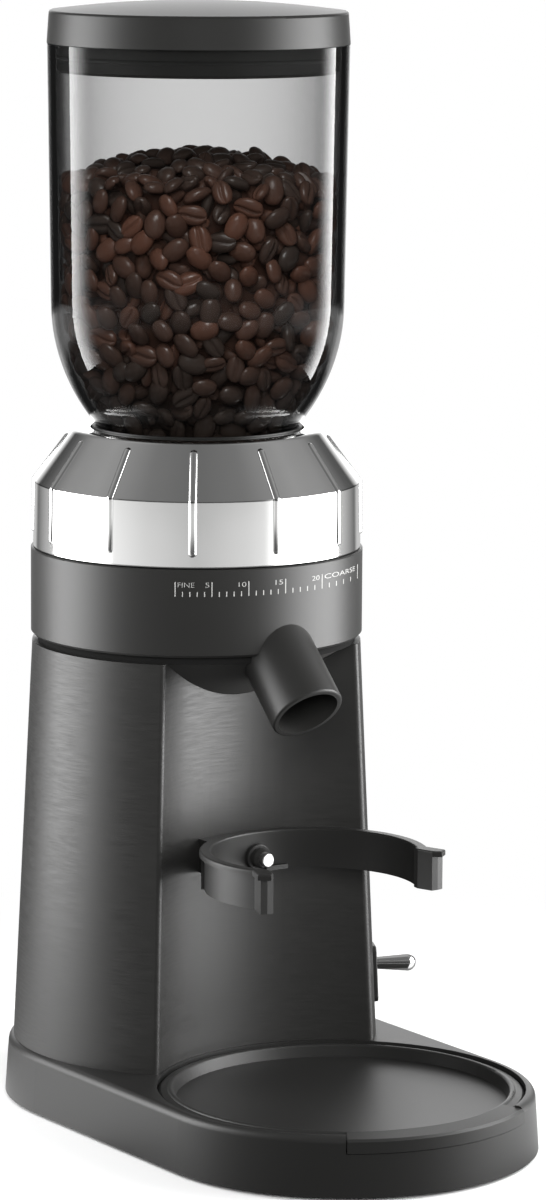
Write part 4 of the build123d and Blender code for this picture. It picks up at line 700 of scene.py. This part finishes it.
# Where the scale starts and ends across the collar, as shares of its radius
SCALE_FROM, SCALE_TO = -0.11, 0.966
MARK_LOW, MARK_SHORT, MARK_LONG = (collar_high.z - down * MM for down in (10.4, 8.5, 4.7))
MARK_WIDE, INK = 0.38 * MM, 0.03 * MM
INK_GREY, INK_PALE = (0.36, 0.36, 0.35), (0.43, 0.43, 0.42)
ink_white = finish_of("print_white", mixed(INK_GREY, INK_PALE, SPARK), drifting(0.5, 0.05, SPARK))


def toward(turn):
    """The level direction that is a turn, in radians, to the right of the way back to the camera."""
    return -ahead * math.cos(turn) + aside * math.sin(turn)


def printed(name, points, faces):
    """Lay a drawing on the collar; a point is its turn round it, its height and how far it stands out."""
    laid = []
    for turn, height, out in points:
        laid.append(BURR_AXIS + toward(turn) * (COLLAR_R + INK + out) + upright * height)
    return riding(name, laid, faces, ink_white, "body", smooth=False)


print("collar radius in mm", COLLAR_R / MM)

# %% Print the marks
PLATE = [(0, 3, 2, 1), (4, 5, 6, 7), (0, 1, 5, 4), (1, 2, 6, 5), (2, 3, 7, 6), (3, 0, 4, 7)]
mark_points, mark_faces = [], []
mark_x = np.linspace(SCALE_FROM, SCALE_TO, MARKS) * COLLAR_R
for number, turn in enumerate(np.arcsin(mark_x / COLLAR_R)):
    top = MARK_LONG if number % LONG_EVERY == 0 else MARK_SHORT
    half = MARK_WIDE / 2 / COLLAR_R / math.sqrt(math.cos(turn))
    mark_faces += [[corner + len(mark_points) for corner in face] for face in PLATE]
    for out in (-INK / 2, INK / 2):
        mark_points += [(turn - half, MARK_LOW, out), (turn + half, MARK_LOW, out),
                        (turn + half, top, out), (turn - half, top, out)]
printed("scale_marks", mark_points, mark_faces)

# %% Print the words
NUMBERS = (5, 10, 15, 20)
LETTER_TALL, LETTER_THINNER = 1.85 * MM, -0.016
LETTER_GAP, LETTER_DROP = 1.0 * MM, 0.2 * MM
WORD_WIDE = {"FINE": 6.4 * MM, "5": 1.6 * MM, "10": 2.9 * MM, "15": 2.9 * MM, "20": 2.9 * MM,
             "COARSE": 12.1 * MM}


def word(name, text, x, side):
    """A word beside a mark: to its right with side 1, to its left with side -1."""
    curve = bpy.data.curves.new(name, "FONT")
    curve.body = text
    curve.offset = LETTER_THINNER * (1 - x / COLLAR_R)
    flat = bpy.data.objects.new(name, curve)
    drawn = bpy.data.meshes.new_from_object(flat)
    spots = np.array([point.co[:] for point in drawn.vertices])
    faces = [list(face.vertices) for face in drawn.polygons]
    low, high = spots.min(axis=0), spots.max(axis=0)
    left = x + LETTER_GAP if side > 0 else x - LETTER_GAP - WORD_WIDE[text]
    first, last = math.asin(left / COLLAR_R), math.asin((left + WORD_WIDE[text]) / COLLAR_R)
    tall = LETTER_TALL / (high[1] - low[1])
    points = [(first + (last - first) * (spot[0] - low[0]) / (high[0] - low[0]),
               MARK_LONG - LETTER_DROP + (spot[1] - high[1]) * tall, 0) for spot in spots]
    bpy.data.objects.remove(flat)
    return printed(name, points, faces)


word("scale_fine", "FINE", mark_x[0], 1)
for number in NUMBERS:
    word("scale_" + str(number), str(number), mark_x[number], -1)
word("scale_coarse", "COARSE", mark_x[NUMBERS[-1]], 1)

# %% [markdown]
# ## The studio
# Two wide soft lamps stand beside the machine, from the floor up. They draw the broad bright bands on the
# black. Each starts dim at its near end, so that the bands fade into the dark middle. The glass would show
# these lamps as white slabs, so the hopper is left out of their light, and the glass gets two slim lamps of
# its own for its upright streaks. A weak lamp by the camera lifts the darkest hollows and isn't mirrored
# anywhere. Three small ones, above, in front and behind, are for the beans alone. No lamp is seen by the
# camera or through the glass.

# %% Tall soft lamps
LAMP_AWAY = 0.6
# Side, near and far bearing in degrees, glow, and the share of the width over which the glow rises
WIDE_LAMPS = {"left_lamp": (-1, 54, 112, 7.0, 0.6), "right_lamp": (1, 46, 112, 8.5, 0.6)}
SLIM_LAMPS = {"left_streak": (-1, 84, 110, 14.0, 0.95), "right_streak": (1, 101, 124, 11.0, 0.95)}
LAMP_LOW, LAMP_HIGH = 0.005, 0.54


def soft_lamp(name, side, near, far, glow, fade):
    """A tall lamp that spans two bearings; its light rises from nothing at its near end."""
    first, last = (toward(side * math.radians(degrees)) * LAMP_AWAY for degrees in (near, far))
    lamp = bpy.data.lights.new(name, "AREA")
    lamp.shape = "RECTANGLE"
    lamp.size, lamp.size_y = (last - first).length, LAMP_HIGH - LAMP_LOW
    lamp.energy = glow * math.pi * lamp.size * lamp.size_y
    lamp.use_nodes = True
    lamp.node_tree.nodes.clear()
    sheet = Flow(lamp.node_tree)
    place = sheet.node("ShaderNodeNewGeometry", output="Parametric")
    across = sheet.node("ShaderNodeSeparateXYZ", sockets={0: place}, output="X")
    rise = (across if side > 0 else 1 - across).between(0.0, fade)
    light = sheet.node("ShaderNodeEmission", sockets={"Strength": rise})
    sheet.node("ShaderNodeOutputLight", sockets={"Surface": light})
    made = bpy.data.objects.new(name, lamp)
    made.location = BURR_AXIS + (first + last) / 2 + upright * (LAMP_LOW + LAMP_HIGH) / 2
    made.rotation_euler = (-(first + last)).to_track_quat("-Z", "Y").to_euler()
    made.visible_camera = made.visible_transmission = False
    bpy.context.scene.collection.objects.link(made)
    return made


def kept_for(lamp, pieces, rule):
    """Keep a lamp for some pieces alone with INCLUDE, or off them with EXCLUDE."""
    group = bpy.data.collections.new(lamp.name + "_group")
    for piece in pieces:
        group.objects.link(piece)
    lamp.light_linking.receiver_collection = group
    for member in group.collection_objects:
        member.light_linking.link_state = rule


for name, settings in WIDE_LAMPS.items():
    kept_for(soft_lamp(name, *settings), [glass, *bean_heaps], "EXCLUDE")
for name, settings in SLIM_LAMPS.items():
    kept_for(soft_lamp(name, *settings), [glass], "INCLUDE")
print("tall lamps", [*WIDE_LAMPS, *SLIM_LAMPS])

# %% Lamps aimed from one point
# Distance towards the camera, height, height aimed at and width in metres, and watts
FRONT_LAMP = (1.8, 0.9, 0.2, 0.8, 40.0)
BEAN_LAMPS = {"bean_lamp": (0.6, 1.1, 0.35, 0.16, 12.0), "level_bean_lamp": (0.9, 0.45, 0.32, 0.5, 4.0),
              "back_bean_lamp": (-0.6, 0.24, 0.3, 0.3, 5.0)}


def aimed_lamp(name, away, up, aim, wide, watts):
    """A square lamp so far towards the camera and so high, aimed at a height on the burr axis."""
    lamp = bpy.data.lights.new(name, "AREA")
    lamp.size, lamp.energy = wide, watts
    made = bpy.data.objects.new(name, lamp)
    made.location = BURR_AXIS - ahead * away + upright * up
    made.rotation_euler = (ahead * away - upright * (up - aim)).to_track_quat("-Z", "Y").to_euler()
    made.visible_camera = made.visible_transmission = False
    bpy.context.scene.collection.objects.link(made)
    return made


aimed_lamp("front_lamp", *FRONT_LAMP).visible_glossy = False
for name, settings in BEAN_LAMPS.items():
    kept_for(aimed_lamp(name, *settings), bean_heaps, "INCLUDE")
print("lamps for the beans", list(BEAN_LAMPS))

# %% [markdown]
# ### Room and floor
# The room is painted by direction: one list of brightness for low directions and one for high ones, both
# read by the bearing from the camera. The floor uses a list of its own in the same way, and its near part
# is kept out of the sharp mirror of the glass, which it would cover with haze. A bright backdrop straight
# behind gives the deck and the lid's top their pale gleam. The camera itself sees plain white, with the
# shadow round the machine's foot.

# %% Paint the room
LOW_ROOM = [(0.0, 0.05), (0.35, 0.06), (0.64, 0.1), (0.70, 0.02), (0.9, 0.02), (0.94, 1.0)]
HIGH_ROOM = [(0.0, 0.19), (0.3, 0.24), (0.55, 0.42), (0.68, 0.36), (0.74, 0.27), (0.8, 0.25), (0.86, 0.5)]
HIGH_BEGINS = (0.12, 0.5)
BACKDROP, BACKDROP_TOP = [(0.0, 0.0), (0.84, 0.0), (0.93, 2.4)], (0.2, 0.6)


def dotted(sheet, way, axis):
    """How far a direction goes along an axis."""
    sockets = {0: way, 1: axis}
    return sheet.node("ShaderNodeVectorMath", {"operation": "DOT_PRODUCT"}, sockets, "Value")


def by_bearing(sheet, way, stops):
    """A brightness read from a list by the bearing: 0 towards the camera, 1 straight away from it."""
    turn = sheet.maths("ARCTAN2", abs(dotted(sheet, way, aside)), dotted(sheet, way, -ahead)) / math.pi
    level = sheet.node("ShaderNodeValToRGB", {"stops": stops}, {0: turn})
    return sheet.node("ShaderNodeRGBToBW", sockets={0: level})


def white_to_camera(sheet, strength):
    """Full white to the camera, and the given brightness to everything else."""
    seen = sheet.node("ShaderNodeLightPath", output="Is Camera Ray")
    return seen + (1 - seen) * strength


world = bpy.data.worlds.new("studio")
world.use_nodes = True
world.node_tree.nodes.clear()
sheet = Flow(world.node_tree)
way = sheet.node("ShaderNodeTexCoord", output="Generated")
rise = dotted(sheet, way, upright)
high = rise.between(*HIGH_BEGINS)
room = by_bearing(sheet, way, LOW_ROOM) * (1 - high) + by_bearing(sheet, way, HIGH_ROOM) * high
blunt = 1 - sheet.node("ShaderNodeLightPath", output="Is Singular Ray")
low = 1 - rise.between(*BACKDROP_TOP)
room = room + by_bearing(sheet, way, BACKDROP) * blunt * low
light = sheet.node("ShaderNodeBackground", sockets={"Strength": white_to_camera(sheet, room)})
sheet.node("ShaderNodeOutputWorld", sockets={"Surface": light})
bpy.context.scene.world = world
print("room painted for", world.name)

# %% Lay the floor
CARD_GLOW = [(0.0, 0.62), (0.1, 0.72), (0.2, 0.82), (0.33, 1.05), (0.5, 1.2), (0.6, 0.8), (0.68, 0.6),
             (0.82, 0.15), (0.86, 0.6)]
CARD_FROM, CARD_TO, BLUR = 1.2, 2.7, 0.2
NEAR_GLOW = [(0.0, 0.12), (0.3, 0.22), (0.4, 1.15), (0.55, 1.6), (0.64, 1.1), (0.72, 0.3), (0.85, 0.1)]
NEAR_TO = 0.85
FLOOR_HALF, FLOOR_GAP = 16.0, 0.2 * MM
SHADOW_FADES = 0.17, 0.42
PAPER_WHITE = (0.9, 0.9, 0.9, 1)
floor_white, sheet = blank("white_floor")
place = sheet.node("ShaderNodeTexCoord", output="Object")
away = sheet.node("ShaderNodeVectorMath", {"operation": "LENGTH"}, {0: place}, "Value")
on_card = away.between(CARD_FROM - BLUR, CARD_FROM + BLUR) - away.between(CARD_TO - BLUR, CARD_TO + BLUR)
sharp = sheet.node("ShaderNodeLightPath", output="Is Singular Ray")
near = (1 - away.between(NEAR_TO - BLUR, NEAR_TO + BLUR)) * (1 - sharp)
glow = by_bearing(sheet, place, CARD_GLOW) * on_card + by_bearing(sheet, place, NEAR_GLOW) * near
glow = glow + by_bearing(sheet, place, LOW_ROOM) * (1 - on_card - near)
paper = sheet.node("ShaderNodeBsdfDiffuse", sockets={"Color": PAPER_WHITE})
lit = sheet.node("ShaderNodeEmission", sockets={"Strength": white_to_camera(sheet, glow)})
seen = sheet.node("ShaderNodeLightPath", output="Is Camera Ray")
glowing = 1 - seen * (1 - away.between(*SHADOW_FADES))
both = sheet.node("ShaderNodeMixShader", sockets={0: glowing, 1: paper, 2: lit})
sheet.node("ShaderNodeOutputMaterial", sockets={"Surface": both})

floor_mesh = bpy.data.meshes.new("floor")
corners = [(x * FLOOR_HALF, y * FLOOR_HALF, 0) for x, y in ((-1, -1), (1, -1), (1, 1), (-1, 1))]
floor_mesh.from_pydata(corners, [], [(0, 1, 2, 3)])
floor_mesh.materials.append(floor_white)
floor = bpy.data.objects.new("floor", floor_mesh)
floor.location.z = -FLOOR_GAP
bpy.context.scene.collection.objects.link(floor)
bpy.context.scene.view_settings.view_transform = "Standard"
print("floor", 2 * FLOOR_HALF, "m wide")
